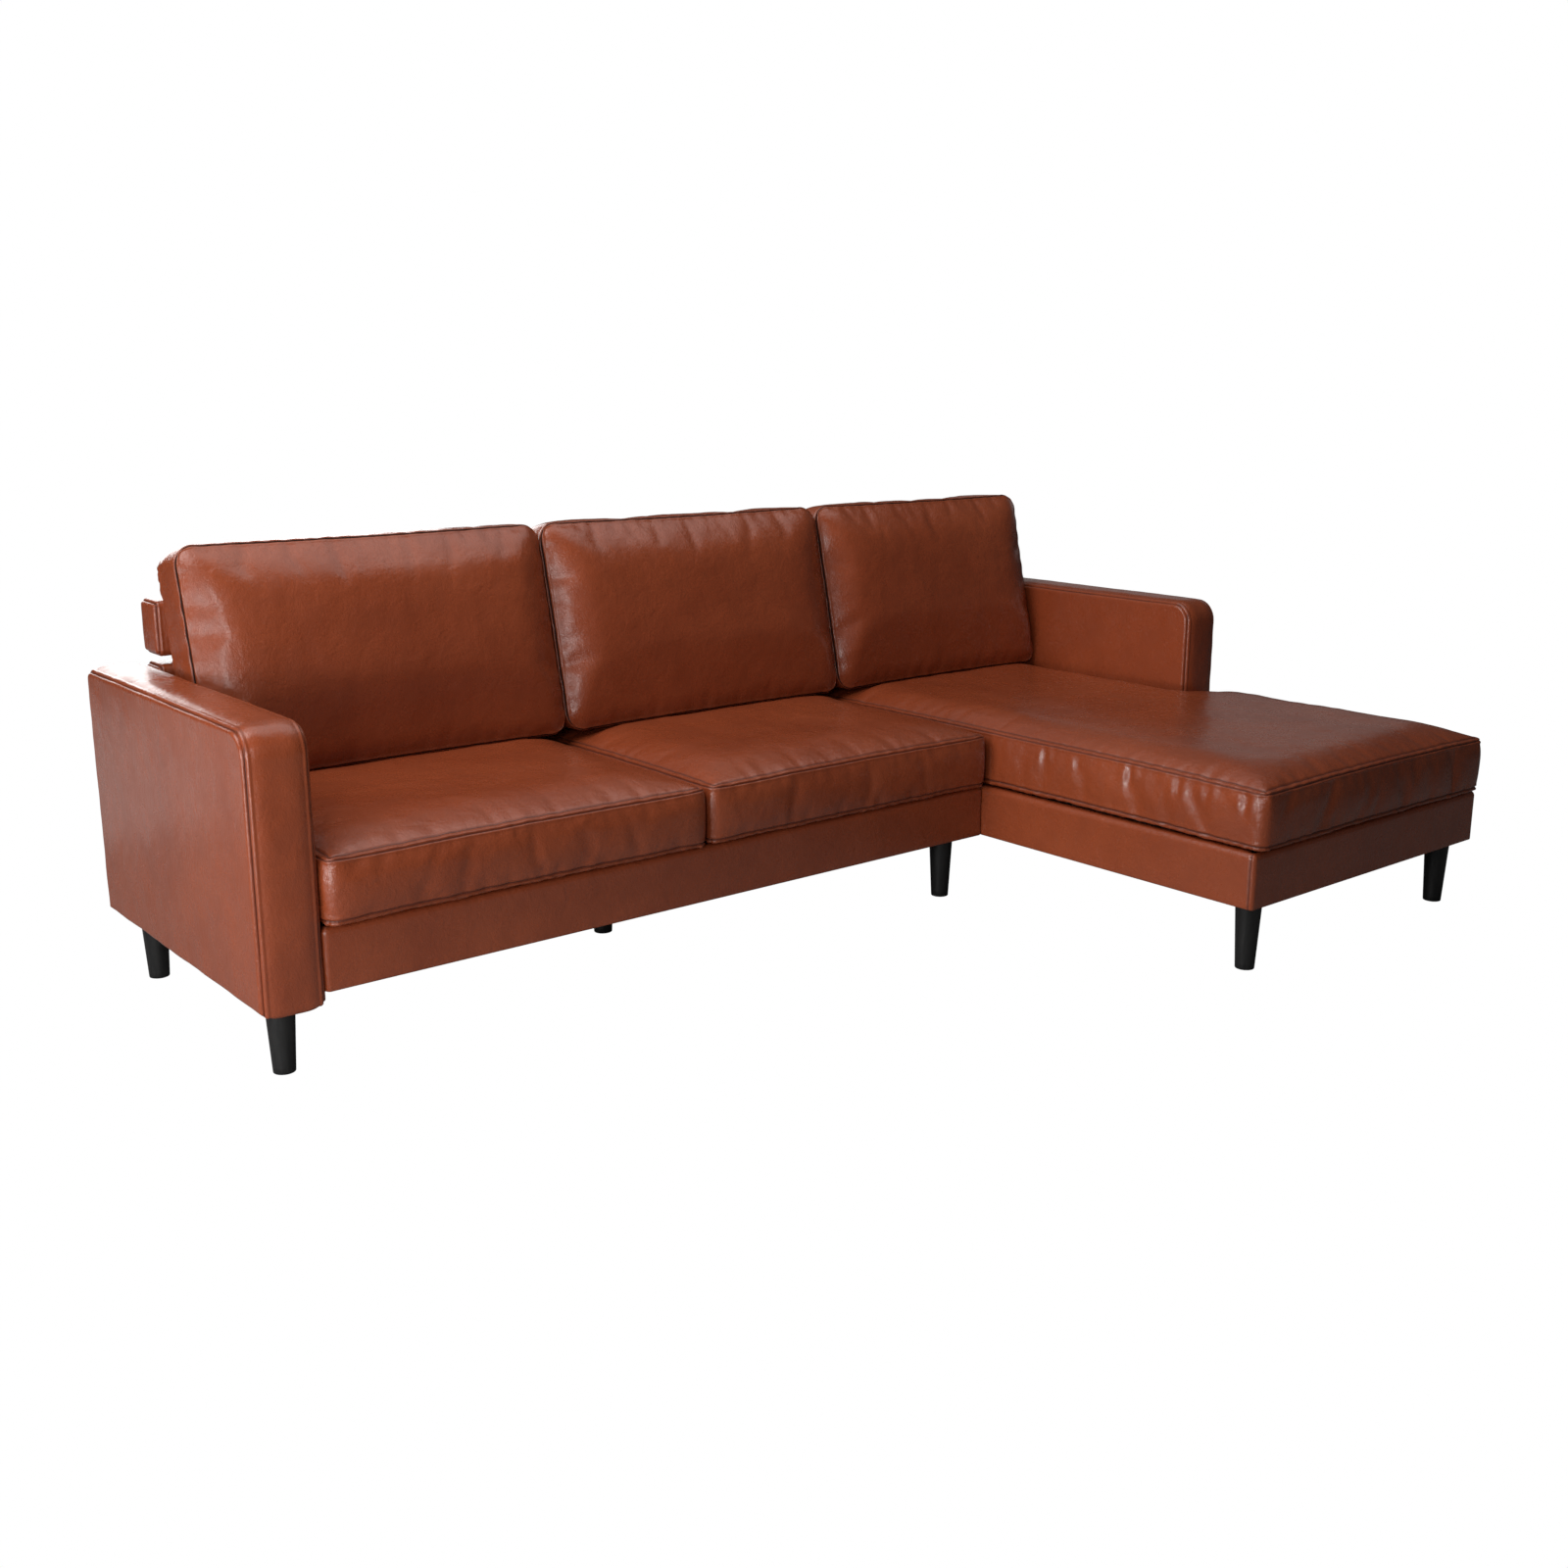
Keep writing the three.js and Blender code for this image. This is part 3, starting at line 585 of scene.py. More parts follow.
def leather_band(name, corners, radii, bottom, top, lip, seams, material, seed):
    """The section carried along the rounded plan line and closed at both ends.

    seams are distances along the line where a groove runs up the face, a bell curve across.
    """
    places, normals = rounded_path(corners, radii, 0.012)
    section = band_section(bottom, top, lip)
    length = np.concatenate([[0], np.cumsum(np.linalg.norm(np.diff(places, axis=0), axis=1))])
    beside = np.array([-0.006, -0.003, -0.0015, 0, 0.0015, 0.003, 0.006])
    stops = np.unique(np.concatenate([length] + [seam + beside for seam in seams]))
    line = np.stack([np.interp(stops, length, places[:, k]) for k in range(2)], -1)
    outward = np.stack([np.interp(stops, length, normals[:, k]) for k in range(2)], -1)
    outward /= np.linalg.norm(outward, axis=1, keepdims=True)
    near_seam = np.zeros(len(stops))
    for seam in seams:
        near_seam = np.maximum(near_seam, bump_at(stops, seam, 0.0022))
    offset = section[None, :, 0] - 0.0022 * near_seam[:, None] * (section[None, :, 0] > -0.02)
    flat = np.concatenate([line, np.zeros((len(line), 1))], 1)
    swell = 0.0012 * soft_noise(flat, 0.22, seed)[:, None] * np.sin(
        np.pi * np.clip((section[None, :, 1] - bottom) / (top - bottom), 0, 1)
    )
    plan = line[:, None, :] + outward[:, None, :] * (offset + swell)[..., None]
    points = np.concatenate([plan, np.broadcast_to(section[None, :, 1:], (*plan.shape[:2], 1))], -1)
    rings, around = points.shape[:2]
    faces = [tuple(face) for face in strip_faces(rings, around)]
    faces += [tuple(range(around)), tuple(range((rings - 1) * around, rings * around))]
    piece = new_piece(name, points, faces, material)
    # painted shade: the leather darkens along the seam grooves up the face
    set_seam_shade(piece, np.repeat(0.85 * near_seam, around)[: len(piece.data.vertices)])
    return piece


base_leather = leather("base_leather", stretch=(1, 1, 0.9), crease=0.5)
BAND_LIP = 0.026  # how far a band runs in over its rail
low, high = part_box("seat_base_front_cover")
END_ROUND = 0.010
seat_end = high.x - 0.001
seat_band = leather_band(
    "seat_base_band", [(low.x, high.y), (low.x, low.y), (seat_end, low.y), (seat_end, high.y)],
    (END_ROUND, 0.005), low.z, high.z, BAND_LIP, [], base_leather, 21,
)
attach(seat_band, "frame")
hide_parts("seat_base_front_cover")

left_low, left_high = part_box("chaise_base_left_cover")
right_low, right_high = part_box("chaise_base_right_cover")
front_low, front_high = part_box("chaise_base_front_cover")
CHAISE_CORNER = 0.010
TUCKED_IN = 0.02  # how far the side runs on behind the front band
side_run = left_high.y + TUCKED_IN - front_low.y
front_run = front_high.x - front_low.x
chaise_band = leather_band(
    "chaise_base_band",
    [(left_low.x, left_high.y + TUCKED_IN), (front_low.x, front_low.y), (front_high.x, front_low.y),
     (right_high.x, right_high.y)],
    (CHAISE_CORNER, CHAISE_CORNER), front_low.z, front_high.z, BAND_LIP,
    [side_run - CHAISE_CORNER, side_run + front_run - 0.5 * CHAISE_CORNER], base_leather, 22,
)
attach(chaise_band, "frame")
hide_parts("chaise_base_left_cover", "chaise_base_front_cover", "chaise_base_right_cover")


# ---------------------------------------------------------------------------------------------
# Back and padded rail: long wadded boxes with seamed end panels, made like the arms laid down.
# ---------------------------------------------------------------------------------------------
back_leather = leather("back_leather", stretch=(0.5, 1, 1), crease=0.7)
BACK_ROLL = 0.005
for cover, name, radii, upright_steps, seed in (
    ("back_cover", "upholstered_back", (0.004, 0.004, 0.016, 0.016), 60, 31),
    ("rest_rail_cover", "padded_rail", (0.014, 0.014, 0.014, 0.014), 16, 32),
):
    low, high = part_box(cover)
    block = upholstered_block(
        name, (low.y, high.y), (low.z, high.z), (low.x, high.x), "YZX",
        radii, back_leather, 0.0, BACK_ROLL, (12, upright_steps), seed,
    )
    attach(block, "frame")
    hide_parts(cover)


# ---------------------------------------------------------------------------------------------
# Seat cushions: a top and a bottom panel joined by a boxing strip, over foam in a fibre wrap.
# The panels are cut full and the seams drawn short, so the covers crown and the boxing puckers.
# ---------------------------------------------------------------------------------------------
SEAM_STEPS = (0, 0.003, 0.006, 0.009, 0.0125, 0.018, 0.028)  # grid lines beside a seam
STITCH_ROW = 4  # the grid line of the stitching that holds the seam allowance down
LEATHER_CELL = 0.014
LOW_SEAM = 0.009  # how far up the side the lower seam sits: the bottom panel rolls over the edge
BOXING_FOLD = 0.0003
BOXING_BULGE = 0.004
SEAM_GROOVE = 0.0028


def graded(low, high, near_low=SEAM_STEPS, step=LEATHER_CELL):
    """Grid lines that crowd at both seamed ends and are even in between."""
    start, stop = low + near_low[-1], high - SEAM_STEPS[-1]
    count = max(2, int(round((stop - start) / step)) + 1)
    inner = np.linspace(start, stop, count)[1:-1]
    return np.concatenate([low + np.array(near_low), inner, high - np.array(SEAM_STEPS)[::-1]])


def soften_corner(x, y, corner, side, radius):
    """Bends the grid round one corner: the square u, v becomes a quarter disc,
    u sqrt(1 - v^2 / 2) and v sqrt(1 - u^2 / 2)."""
    u = (side[0] * (x - corner[0]) + radius) / radius
    v = (side[1] * (y - corner[1]) + radius) / radius
    inside = (u > 0) & (v > 0) & (u <= 1.0001) & (v <= 1.0001)
    u, v = np.clip(u, 0, 1), np.clip(v, 0, 1)
    bent_x = corner[0] + side[0] * radius * (u * np.sqrt(1 - v**2 / 2) - 1)
    bent_y = corner[1] + side[1] * radius * (v * np.sqrt(1 - u**2 / 2) - 1)
    return np.where(inside, bent_x, x), np.where(inside, bent_y, y)


def rise(distance, reach, power=2.2):
    """Height share at a distance from the seam: 1 - (1 - d / reach)^power, level past the reach."""
    return 1 - (1 - np.clip(distance / reach, 0, 1)) ** power


def eased(value, low, high):
    """0 below low, 1 above high, 3 t^2 - 2 t^3 between them."""
    share = np.clip((value - low) / (high - low), 0, 1)
    return share * share * (3 - 2 * share)


def walk(turns):
    """The grid points passed on the way round a list of grid corners, as i, j rows."""
    runs = []
    for number, (i, j) in enumerate(turns):
        to_i, to_j = turns[(number + 1) % len(turns)]
        count = abs(to_i - i) + abs(to_j - j)
        run = np.stack([np.linspace(i, to_i, count + 1), np.linspace(j, to_j, count + 1)], 1)
        runs.append(run[:-1])
    return np.rint(np.concatenate(runs)).astype(int)


class BoxedCushion:
    """The grid of a boxed cushion in its own frame: x and y across the panels, height through it.

    xs and ys are the grid lines. levels are the heights of the boxing's rings, top seam first.
    The top panel rises by the crown over the reach, as the power says, and the bottom one hangs
    by the sag; low_reach is the reach from the front side, where it differs. The boxing bulges.
    notch is the grid corner beyond which a rear right block is left out.
    """

    def __init__(self, xs, ys, levels, crown, sag, corner_radius, reach, notch=None, power=2.0,
                 low_reach=None):
        nx, ny = len(xs), len(ys)
        last_i, last_j = nx - 1, ny - 1
        inset = STITCH_ROW
        if notch is None:
            turns = [(0, 0), (last_i, 0), (last_i, last_j), (0, last_j)]
            outer = {0: (-1, -1), 1: (1, -1), 2: (1, 1), 3: (-1, 1)}
            row = [(inset, inset), (last_i - inset, inset)]
            row += [(last_i - inset, last_j - inset), (inset, last_j - inset)]
        else:
            turns = [(0, 0), (last_i, 0), (last_i, notch[1]), notch, (notch[0], last_j), (0, last_j)]
            outer = {0: (-1, -1), 1: (1, -1), 2: (1, 1), 4: (1, 1), 5: (-1, 1)}
            row = [(inset, inset), (last_i - inset, inset), (last_i - inset, notch[1] - inset)]
            row += [(notch[0] - inset, notch[1] - inset), (notch[0] - inset, last_j - inset)]
            row += [(inset, last_j - inset)]
        edge, stitched = walk(turns), walk(row)

        x, y = np.meshgrid(xs, ys)
        kept = np.ones((ny - 1, nx - 1), bool)
        right, rear = np.full_like(x, xs[-1]), np.full_like(y, ys[-1])
        if notch is not None:
            kept[notch[1] :, notch[0] :] = False
            step_x, step_y = xs[notch[0]], ys[notch[1]]
            right += (step_x - xs[-1]) * eased(y, step_y - 0.12, step_y)
            rear += (step_y - ys[-1]) * eased(x, step_x - 0.1, step_x)
        dome = rise(np.minimum(x - xs[0], np.maximum(right - x, 0)), reach, power)
        dome = dome * rise(np.maximum(rear - y, 0), reach, power)
        dome = dome * (rise(y - ys[0], low_reach) if low_reach else rise(y - ys[0], reach, power))
        flat = np.stack([x, y], -1).reshape(-1, 2)
        self.sides = [(np.array([xs[a[0]], ys[a[1]]]), np.array([xs[b[0]], ys[b[1]]])) for a, b in
                      zip(turns, turns[1:] + turns[:1])]
        distance = self.from_sides(flat).min(0)
        for number, side in outer.items():
            i, j = turns[number]
            x, y = soften_corner(x, y, (xs[i], ys[j]), side, corner_radius)
        bent = np.stack([x, y], -1).reshape(-1, 2)

        size = nx * ny
        ring = edge[:, 1] * nx + edge[:, 0]
        outline = bent[ring]
        tangent = np.roll(outline, -1, 0) - np.roll(outline, 1, 0)
        outward = np.stack([tangent[:, 1], -tangent[:, 0]], 1)
        outward /= np.linalg.norm(outward, axis=1, keepdims=True)
        levels = np.asarray(levels, float)
        depth = levels[0] - levels[-1]
        share = (levels[0] - levels[1:-1]) / depth
        belly = BOXING_BULGE * 4 * share * (1 - share)
        walls = outline[None] + outward[None] * belly[:, None, None]
        rings = len(share)

        points = np.concatenate([bent, bent, walls.reshape(-1, 2)])
        heights = [levels[0] + crown * dome.ravel(), levels[-1] - sag * dome.ravel()]
        heights = np.concatenate(heights + [np.repeat(levels[1:-1], len(ring))])
        points = np.column_stack([points, heights])
        cut = np.concatenate([flat, flat, np.tile(flat[ring], (rings, 1))])
        down = np.repeat(levels[0] - levels[1:-1], len(ring))
        from_top = np.concatenate([distance, -depth - distance, -down])
        from_bottom = np.concatenate([-depth - distance, distance, down - depth])

        grid_row, grid_column = np.nonzero(kept)
        cell = grid_row * nx + grid_column
        quads = np.stack([cell, cell + 1, cell + nx + 1, cell + nx], 1)
        loops = [ring]
        loops += [2 * size + k * len(ring) + np.arange(len(ring)) for k in range(rings)]
        loops += [ring + size]
        bands = [np.stack([above, below, np.roll(below, -1), np.roll(above, -1)], 1)
                 for above, below in zip(loops, loops[1:])]
        faces = np.concatenate([quads, quads[:, ::-1] + size] + bands)

        used, packed = np.unique(faces, return_inverse=True)
        place = np.full(len(points), -1)
        place[used] = np.arange(len(used))
        self.points, self.faces = points[used], packed.reshape(faces.shape)
        self.cut, self.from_top, self.from_bottom = cut[used], from_top[used], from_bottom[used]
        self.top_loop, self.bottom_loop = place[loops[0]], place[loops[-1]]
        self.stitch_loop = place[stitched[:, 1] * nx + stitched[:, 0]]

    def from_sides(self, flat):
        """Distance of each flat point from each straight side of the outline, one row a side."""
        rows = []
        for start, stop in self.sides:
            run = stop - start
            share = np.clip((flat - start) @ run / (run @ run), 0, 1)
            rows.append(np.linalg.norm(flat - start - share[:, None] * run, axis=1))
        return np.array(rows)


def inflate(piece, cushion, cap, pressure=4.0, growth=0.012, gather=0.0035):
    """Blows the cover up like a filled one: air pressure, no gravity, panels cut full and seams
    drawn short, with the seams held near their place. No point moves past the cap."""
    rest = read_points(piece.data)
    held = piece.vertex_groups.new(name="held")
    short = piece.vertex_groups.new(name="short")
    seams = np.concatenate([cushion.top_loop, cushion.bottom_loop]).tolist()
    held.add(seams, 0.35, "REPLACE")
    held.add(np.nonzero(cushion.from_bottom > 0.1)[0].tolist(), 0.8, "REPLACE")
    short.add(seams, 1.0, "REPLACE")
    cloth = piece.modifiers.new("cloth", "CLOTH")
    settings = cloth.settings
    settings.quality = 4
    settings.mass = 0.3
    settings.tension_stiffness = 20
    settings.compression_stiffness = 8
    settings.shear_stiffness = 6
    settings.bending_stiffness = 0.6
    settings.effector_weights.gravity = 0
    settings.use_pressure = True
    settings.uniform_pressure_force = pressure
    settings.vertex_group_mass = held.name
    settings.pin_stiffness = 1.5
    settings.vertex_group_shrink = short.name
    settings.shrink_min = -growth
    settings.shrink_max = gather
    cloth.collision_settings.use_collision = False
    cloth.point_cache.frame_start = 1
    cloth.point_cache.frame_end = 20
    for step in range(1, 21):
        bpy.context.scene.frame_set(step)
    blown = piece.evaluated_get(bpy.context.evaluated_depsgraph_get()).to_mesh()
    moved = read_points(blown) - rest
    piece.modifiers.remove(cloth)
    piece.vertex_groups.clear()
    bpy.context.scene.frame_set(1)
    far = np.linalg.norm(moved, axis=1, keepdims=True)
    write_points(piece.data, rest + moved * cap * np.tanh(far / cap) / np.maximum(far, 1e-9))


def swell(piece, cushion, cap, direction):
    """A quick stand-in for the simulation: each point moves out by the cap times its rise."""
    places = read_points(piece.data)
    panel = rise(np.maximum(cushion.from_top, 0), 0.12)[:, None]
    write_points(piece.data, places + panel * cap * 0.95 * np.array(direction))


def held_between(values, low, high, soft=0.003):
    """Soft limits: past the last few millimetres before a limit, movement dies away as tanh."""
    over = np.maximum(values - (high - soft), 0)
    under = np.maximum(low + soft - values, 0)
    return values - over + soft * np.tanh(over / soft) + under - soft * np.tanh(under / soft)


def finer(piece, **values):
    """One Catmull-Clark step, applied. Point values given by name are carried onto the finer
    mesh and returned in order. The first points of the finer mesh are the coarse ones."""
    for name, value in values.items():
        store = piece.data.attributes.new(name, "FLOAT", "POINT")
        store.data.foreach_set("value", np.asarray(value, np.float32))
    step = piece.modifiers.new("finer", "SUBSURF")
    step.levels = 1
    step.render_levels = 1
    graph = bpy.context.evaluated_depsgraph_get()
    fine = bpy.data.meshes.new_from_object(
        piece.evaluated_get(graph), preserve_all_data_layers=True, depsgraph=graph
    )
    piece.modifiers.remove(step)
    piece.data = fine
    carried = []
    for name in values:
        value = np.empty(len(fine.vertices), np.float32)
        fine.attributes[name].data.foreach_get("value", value)
        carried.append(value.astype(float))
        fine.attributes.remove(fine.attributes[name])
    return carried


def gathers(cushion, flat, reach, seed, wavelength=0.055):
    """Small folds square to every side: noise along each side, fading as e^(-d / reach)."""
    total = np.zeros(len(flat))
    for number, distance in enumerate(cushion.from_sides(flat)):
        start, stop = cushion.sides[number]
        run = (stop - start) / np.linalg.norm(stop - start)
        along = ((flat - start) @ run)[:, None]
        folds = soft_noise(along, wavelength, seed + number)
        folds = folds + 0.6 * soft_noise(along, wavelength / 2.3, seed + 50 + number)
        total += folds * np.exp(-distance / reach)
    return total


def dress_cushion(piece, cushion, seed, panel_fold=0.0004, top_stitched=True, dimples=()):
    """Seams, folds and the settled surface of a filled cover.

    Each seam is a groove between two small rolls, with a fainter line along the stitching, and both
    are darkened with painted shade; the leather beside a seam folds across it; the panels carry
    broad, low swells. Each dimple is an upright pinch in the boxing: its place on the outline, how
    far down, and its depth.
    """
    flat_x, flat_y, top, bottom = finer(
        piece, cut_x=cushion.cut[:, 0], cut_y=cushion.cut[:, 1],
        from_top=cushion.from_top, from_bottom=cushion.from_bottom,
    )
    flat = np.column_stack([flat_x, flat_y])
    stitch = SEAM_STEPS[STITCH_ROW]
    low_seam = bottom + LOW_SEAM
    groove = -SEAM_GROOVE * (bump_at(top, 0, 0.0018) + bump_at(low_seam, 0, 0.0018))
    rolls = 0.0012 * (bump_at(np.abs(top), 0.0046, 0.0025) + bump_at(np.abs(low_seam), 0.0046, 0.0025))
    row = -0.0018 * bump_at(top, stitch, 0.0016) if top_stitched else 0
    panel_folds = gathers(cushion, flat, 0.045, seed)
    boxing_folds = gathers(cushion, flat, 0.030, seed + 100, 0.042)
    on_panel = np.where(top > 0, 1 - np.exp(-top / 0.012), 0)
    on_boxing = np.where((top < 0) & (bottom < 0), np.exp(top / 0.045) + 0.8 * np.exp(bottom / 0.03), 0)
    on_boxing *= np.clip(-top / 0.006, 0, 1) * np.clip(-bottom / 0.006, 0, 1)
    tucks = gathers(cushion, flat, 0.02, seed + 200, 0.03)
    tucks = tucks * bump_at(bottom, -0.3 * LOW_SEAM, 0.6 * LOW_SEAM)
    folds = 0.0013 * tucks + panel_fold * panel_folds * on_panel
    folds = folds + BOXING_FOLD * boxing_folds * on_boxing
    places, normals = read_points(piece.data), read_points(piece.data, "normal")
    broad = 0.0011 * soft_noise(places, 0.17, seed + 7) + 0.00045 * soft_noise(places, 0.06, seed + 8)
    broad = broad * eased(np.maximum(np.abs(top), 0), 0.0, 0.05)
    pinched = np.zeros(len(flat))
    for at_x, at_y, down, depth in dimples:
        away = np.hypot(flat_x - at_x, flat_y - at_y)
        pinch = np.exp(-((away / 0.007) ** 2)) - 0.55 * np.exp(-(((away - 0.015) / 0.008) ** 2))
        pinched -= depth * pinch * np.exp(-(((top + down) / 0.02) ** 2)) * (top < 0) * (bottom < 0)
    write_points(piece.data, places + normals * (groove + rolls + row + folds + broad + pinched)[:, None])
    # painted shade: the leather darkens along the top and lower seam grooves and along the stitching row
    dark = bump_at(top, 0, 0.0021) + bump_at(bottom, -LOW_SEAM, 0.0021)
    if top_stitched:
        dark += 0.95 * bump_at(top, stitch, 0.0019)
    set_seam_shade(piece, np.clip(dark, 0, 1))


def smooth_loop(points, spacing):
    """A closed line through the points (Catmull-Rom), resampled to an even spacing."""
    before, after, beyond = np.roll(points, 1, 0), np.roll(points, -1, 0), np.roll(points, -2, 0)
    t = np.linspace(0, 1, 6, endpoint=False)[None, :, None]
    p0, p1, p2, p3 = (group[:, None] for group in (before, points, after, beyond))
    line = 2 * p1 + (p2 - p0) * t + (2 * p0 - 5 * p1 + 4 * p2 - p3) * t**2
    line = 0.5 * (line + (3 * p1 - p0 - 3 * p2 + p3) * t**3)
    line = line.reshape(-1, points.shape[1])
    closed = np.concatenate([line, line[:1]])
    length = np.concatenate([[0], np.cumsum(np.linalg.norm(np.diff(closed[:, :3], axis=0), axis=1))])
    count = int(round(length[-1] / spacing))
    stops = np.linspace(0, length[-1], count, endpoint=False)
    return np.column_stack([np.interp(stops, length, closed[:, k]) for k in range(points.shape[1])])


def line_frames(piece, loop, spacing):
    """Even points along a loop of the mesh, with the way along and the surface's outward way."""
    places, normals = read_points(piece.data), read_points(piece.data, "normal")
    both = smooth_loop(np.concatenate([places[loop], normals[loop]], 1), spacing)
    at, out = both[:, :3], both[:, 3:]
    along = np.roll(at, -1, 0) - np.roll(at, 1, 0)
    along /= np.linalg.norm(along, axis=1, keepdims=True)
    out -= (out * along).sum(1, keepdims=True) * along
    out /= np.linalg.norm(out, axis=1, keepdims=True)
    return at, along, out


thread_material, thread_surface = shader("dark_thread", (0.05, 0.014, 0.008), 0.6)
thread_place = place_of(thread_material)
ply = node(thread_material, "TexWave", Scale=900, bands_direction="DIAGONAL")
wire(thread_material, thread_place, ply.inputs["Vector"])
thread_tones = (0.03, 0.009, 0.006), (0.085, 0.024, 0.012)
thread_colour = tint_between(thread_material, ply.outputs["Fac"], *thread_tones)
wire(thread_material, thread_colour, thread_surface.inputs["Base Color"])
wire(thread_material, emboss(thread_material, ply.outputs["Fac"], 0.0003), thread_surface.inputs["Normal"])


def stitching(name, piece, loop, body, pitch=0.0062, stitch=0.0046, thickness=0.0005, sink=0.0001):
    """A row of stitches: one small spindle for each, radius r sin(pi t), laid along the loop."""
    at, along, out = line_frames(piece, loop, pitch)
    across = np.cross(along, out)
    t = np.array([0, 0.12, 0.35, 0.65, 0.88, 1.0])
    fat = thickness * np.array([0.25, 0.8, 1, 1, 0.8, 0.25])
    angle = np.linspace(0, 2 * np.pi, 6, endpoint=False)
    lift = (np.cos(angle)[None] * fat[:, None])[None, ..., None] * out[:, None, None]
    sway = (np.sin(angle)[None] * fat[:, None])[None, ..., None] * across[:, None, None]
    spine = at[:, None, None] + ((t - 0.5) * stitch)[None, :, None, None] * along[:, None, None]
    dip = -sink - 0.0006 * (2 * t - 1) ** 4
    spine = spine + dip[None, :, None, None] * out[:, None, None]
    points = (spine + lift + sway).reshape(-1, 3)
    one = strip_faces(len(t), len(angle))
    per = len(t) * len(angle)
    faces = (one[None] + per * np.arange(len(at))[:, None, None]).reshape(-1, 4).tolist()
    cap = np.arange(len(angle))
    for first in per * np.arange(len(at)):
        faces.append((first + cap).tolist())
        faces.append((first + per - len(angle) + cap).tolist())
    row = new_piece(name, points, faces, thread_material)
    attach(row, body)
    return row


cushion_leather = leather("cushion_leather", crease=0.65)
PRESS_FRONT = 0.480  # where the ridge is highest, along Y
PRESS_END = 0.503  # where the seat has sunk all the way
PRESS_HEIGHT = 0.004
PRESS_DEPTH = 0.010  # how far the back cushion sinks into the seat


def pushed_against_back(places, cushion):
    """The seat under the back cushion that stands on it: a low ridge in front, a bell curve on
    its front side, and an eased drop to the depth it sinks to, fading towards the ends."""
    y = places[:, 1]
    sunk = 1 + PRESS_DEPTH / PRESS_HEIGHT
    behind = 1 - sunk * eased(y, PRESS_FRONT, PRESS_END)
    ridge = np.where(y < PRESS_FRONT, bump_at(y, PRESS_FRONT, 0.045), behind)
    x = places[:, 0]
    right = np.minimum(x.max(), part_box("right_arm_cover")[0].x)
    ends = eased(np.minimum(x - x.min(), right - x), 0.01, 0.10)
    return PRESS_HEIGHT * ridge * ends * (cushion.from_top > 0)


def cushion_piece(name, cushion, points, cap, direction, bay, seed, pushed_up=False, **finish):
    """Makes, fills and dresses one cushion, and puts it in its bay: low and high limits per axis."""
    piece = raw_piece(name + "_leather", points, cushion.faces, cushion_leather)
    inflate(piece, cushion, cap)
    places = read_points(piece.data)
    for axis, (low, high) in enumerate(bay):
        places[:, axis] = held_between(places[:, axis], low, high)
    if pushed_up:
        places[:, 2] += pushed_against_back(places, cushion)
    write_points(piece.data, places)
    dress_cushion(piece, cushion, seed, **finish)
    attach(piece, name)
    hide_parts(name + "_cover", name + "_core")
    return piece


SEAM_TOP = 0.404
SEAM_BOTTOM = 0.2825
SEAT_CROWN = 0.018
SEAT_REACH = 0.14
SEAT_SAG = 0.002
SEAT_CORNER = 0.022
SEAT_CAP = 0.0215
SEAT_REST = 0.2790  # the height that the seat cushions stand on
DRAWN_IN = 0.004  # how far the cut outline starts inside the finished cushion
seat_levels = SEAM_TOP - graded(0, SEAM_TOP - SEAM_BOTTOM, step=0.011)
for name, seed in (("seat_cushion_left", 101), ("seat_cushion_middle", 202)):
    low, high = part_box(name + "_cover")
    grid = BoxedCushion(
        graded(low.x + DRAWN_IN, high.x - DRAWN_IN), graded(low.y + DRAWN_IN, high.y - DRAWN_IN),
        seat_levels, SEAT_CROWN, SEAT_SAG, SEAT_CORNER, SEAT_REACH,
    )
    bay = ((low.x - 0.001, high.x + 0.001), (low.y - 0.006, high.y - 0.002), (SEAT_REST, high.z + 0.001))
    seat = cushion_piece(
        name, grid, grid.points, SEAT_CAP, (0, 0, 1), bay, seed, pushed_up=True,
    )
    stitching(name + "_stitching", seat, grid.stitch_loop, name)


# ---------------------------------------------------------------------------------------------
# Chaise cushion: one long cushion made like the others, notched round the right arm's front end.
# ---------------------------------------------------------------------------------------------
low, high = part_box("chaise_cushion_cover")
arm_low, arm_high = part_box("right_arm_cover")
notch_x = arm_low.x - 0.004 - DRAWN_IN
notch_y = arm_low.y - 0.004 - DRAWN_IN
wide = graded(low.x + DRAWN_IN, notch_x)
grid_x = np.concatenate([wide, graded(notch_x, high.x - DRAWN_IN, near_low=(0,))[1:]])
before_arm = graded(low.y + DRAWN_IN, notch_y)
grid_y = np.concatenate([before_arm, graded(notch_y, high.y - DRAWN_IN, near_low=(0,))[1:]])
grid = BoxedCushion(
    grid_x, grid_y, seat_levels, SEAT_CROWN, SEAT_SAG, SEAT_CORNER, SEAT_REACH,
    notch=(len(wide) - 1, len(before_arm) - 1),
)
bay = ((low.x - 0.001, high.x + 0.004), (low.y - 0.004, high.y - 0.002), (SEAT_REST, high.z + 0.001))
# pinches along the side: place along Y and depth
side_dimples = [(low.x + DRAWN_IN, y, 0.026, depth) for y, depth in (
    (-0.194, 0.0056), (-0.293, 0.0036), (-0.441, 0.0060),
    (-0.575, 0.0046), (-0.652, 0.0034), (-0.748, 0.0058),
)]
chaise = cushion_piece(
    "chaise_cushion", grid, grid.points, SEAT_CAP, (0, 0, 1), bay, 303, pushed_up=True,
    dimples=side_dimples,
)
stitching("chaise_cushion_stitching", chaise, grid.stitch_loop, "chaise_cushion")


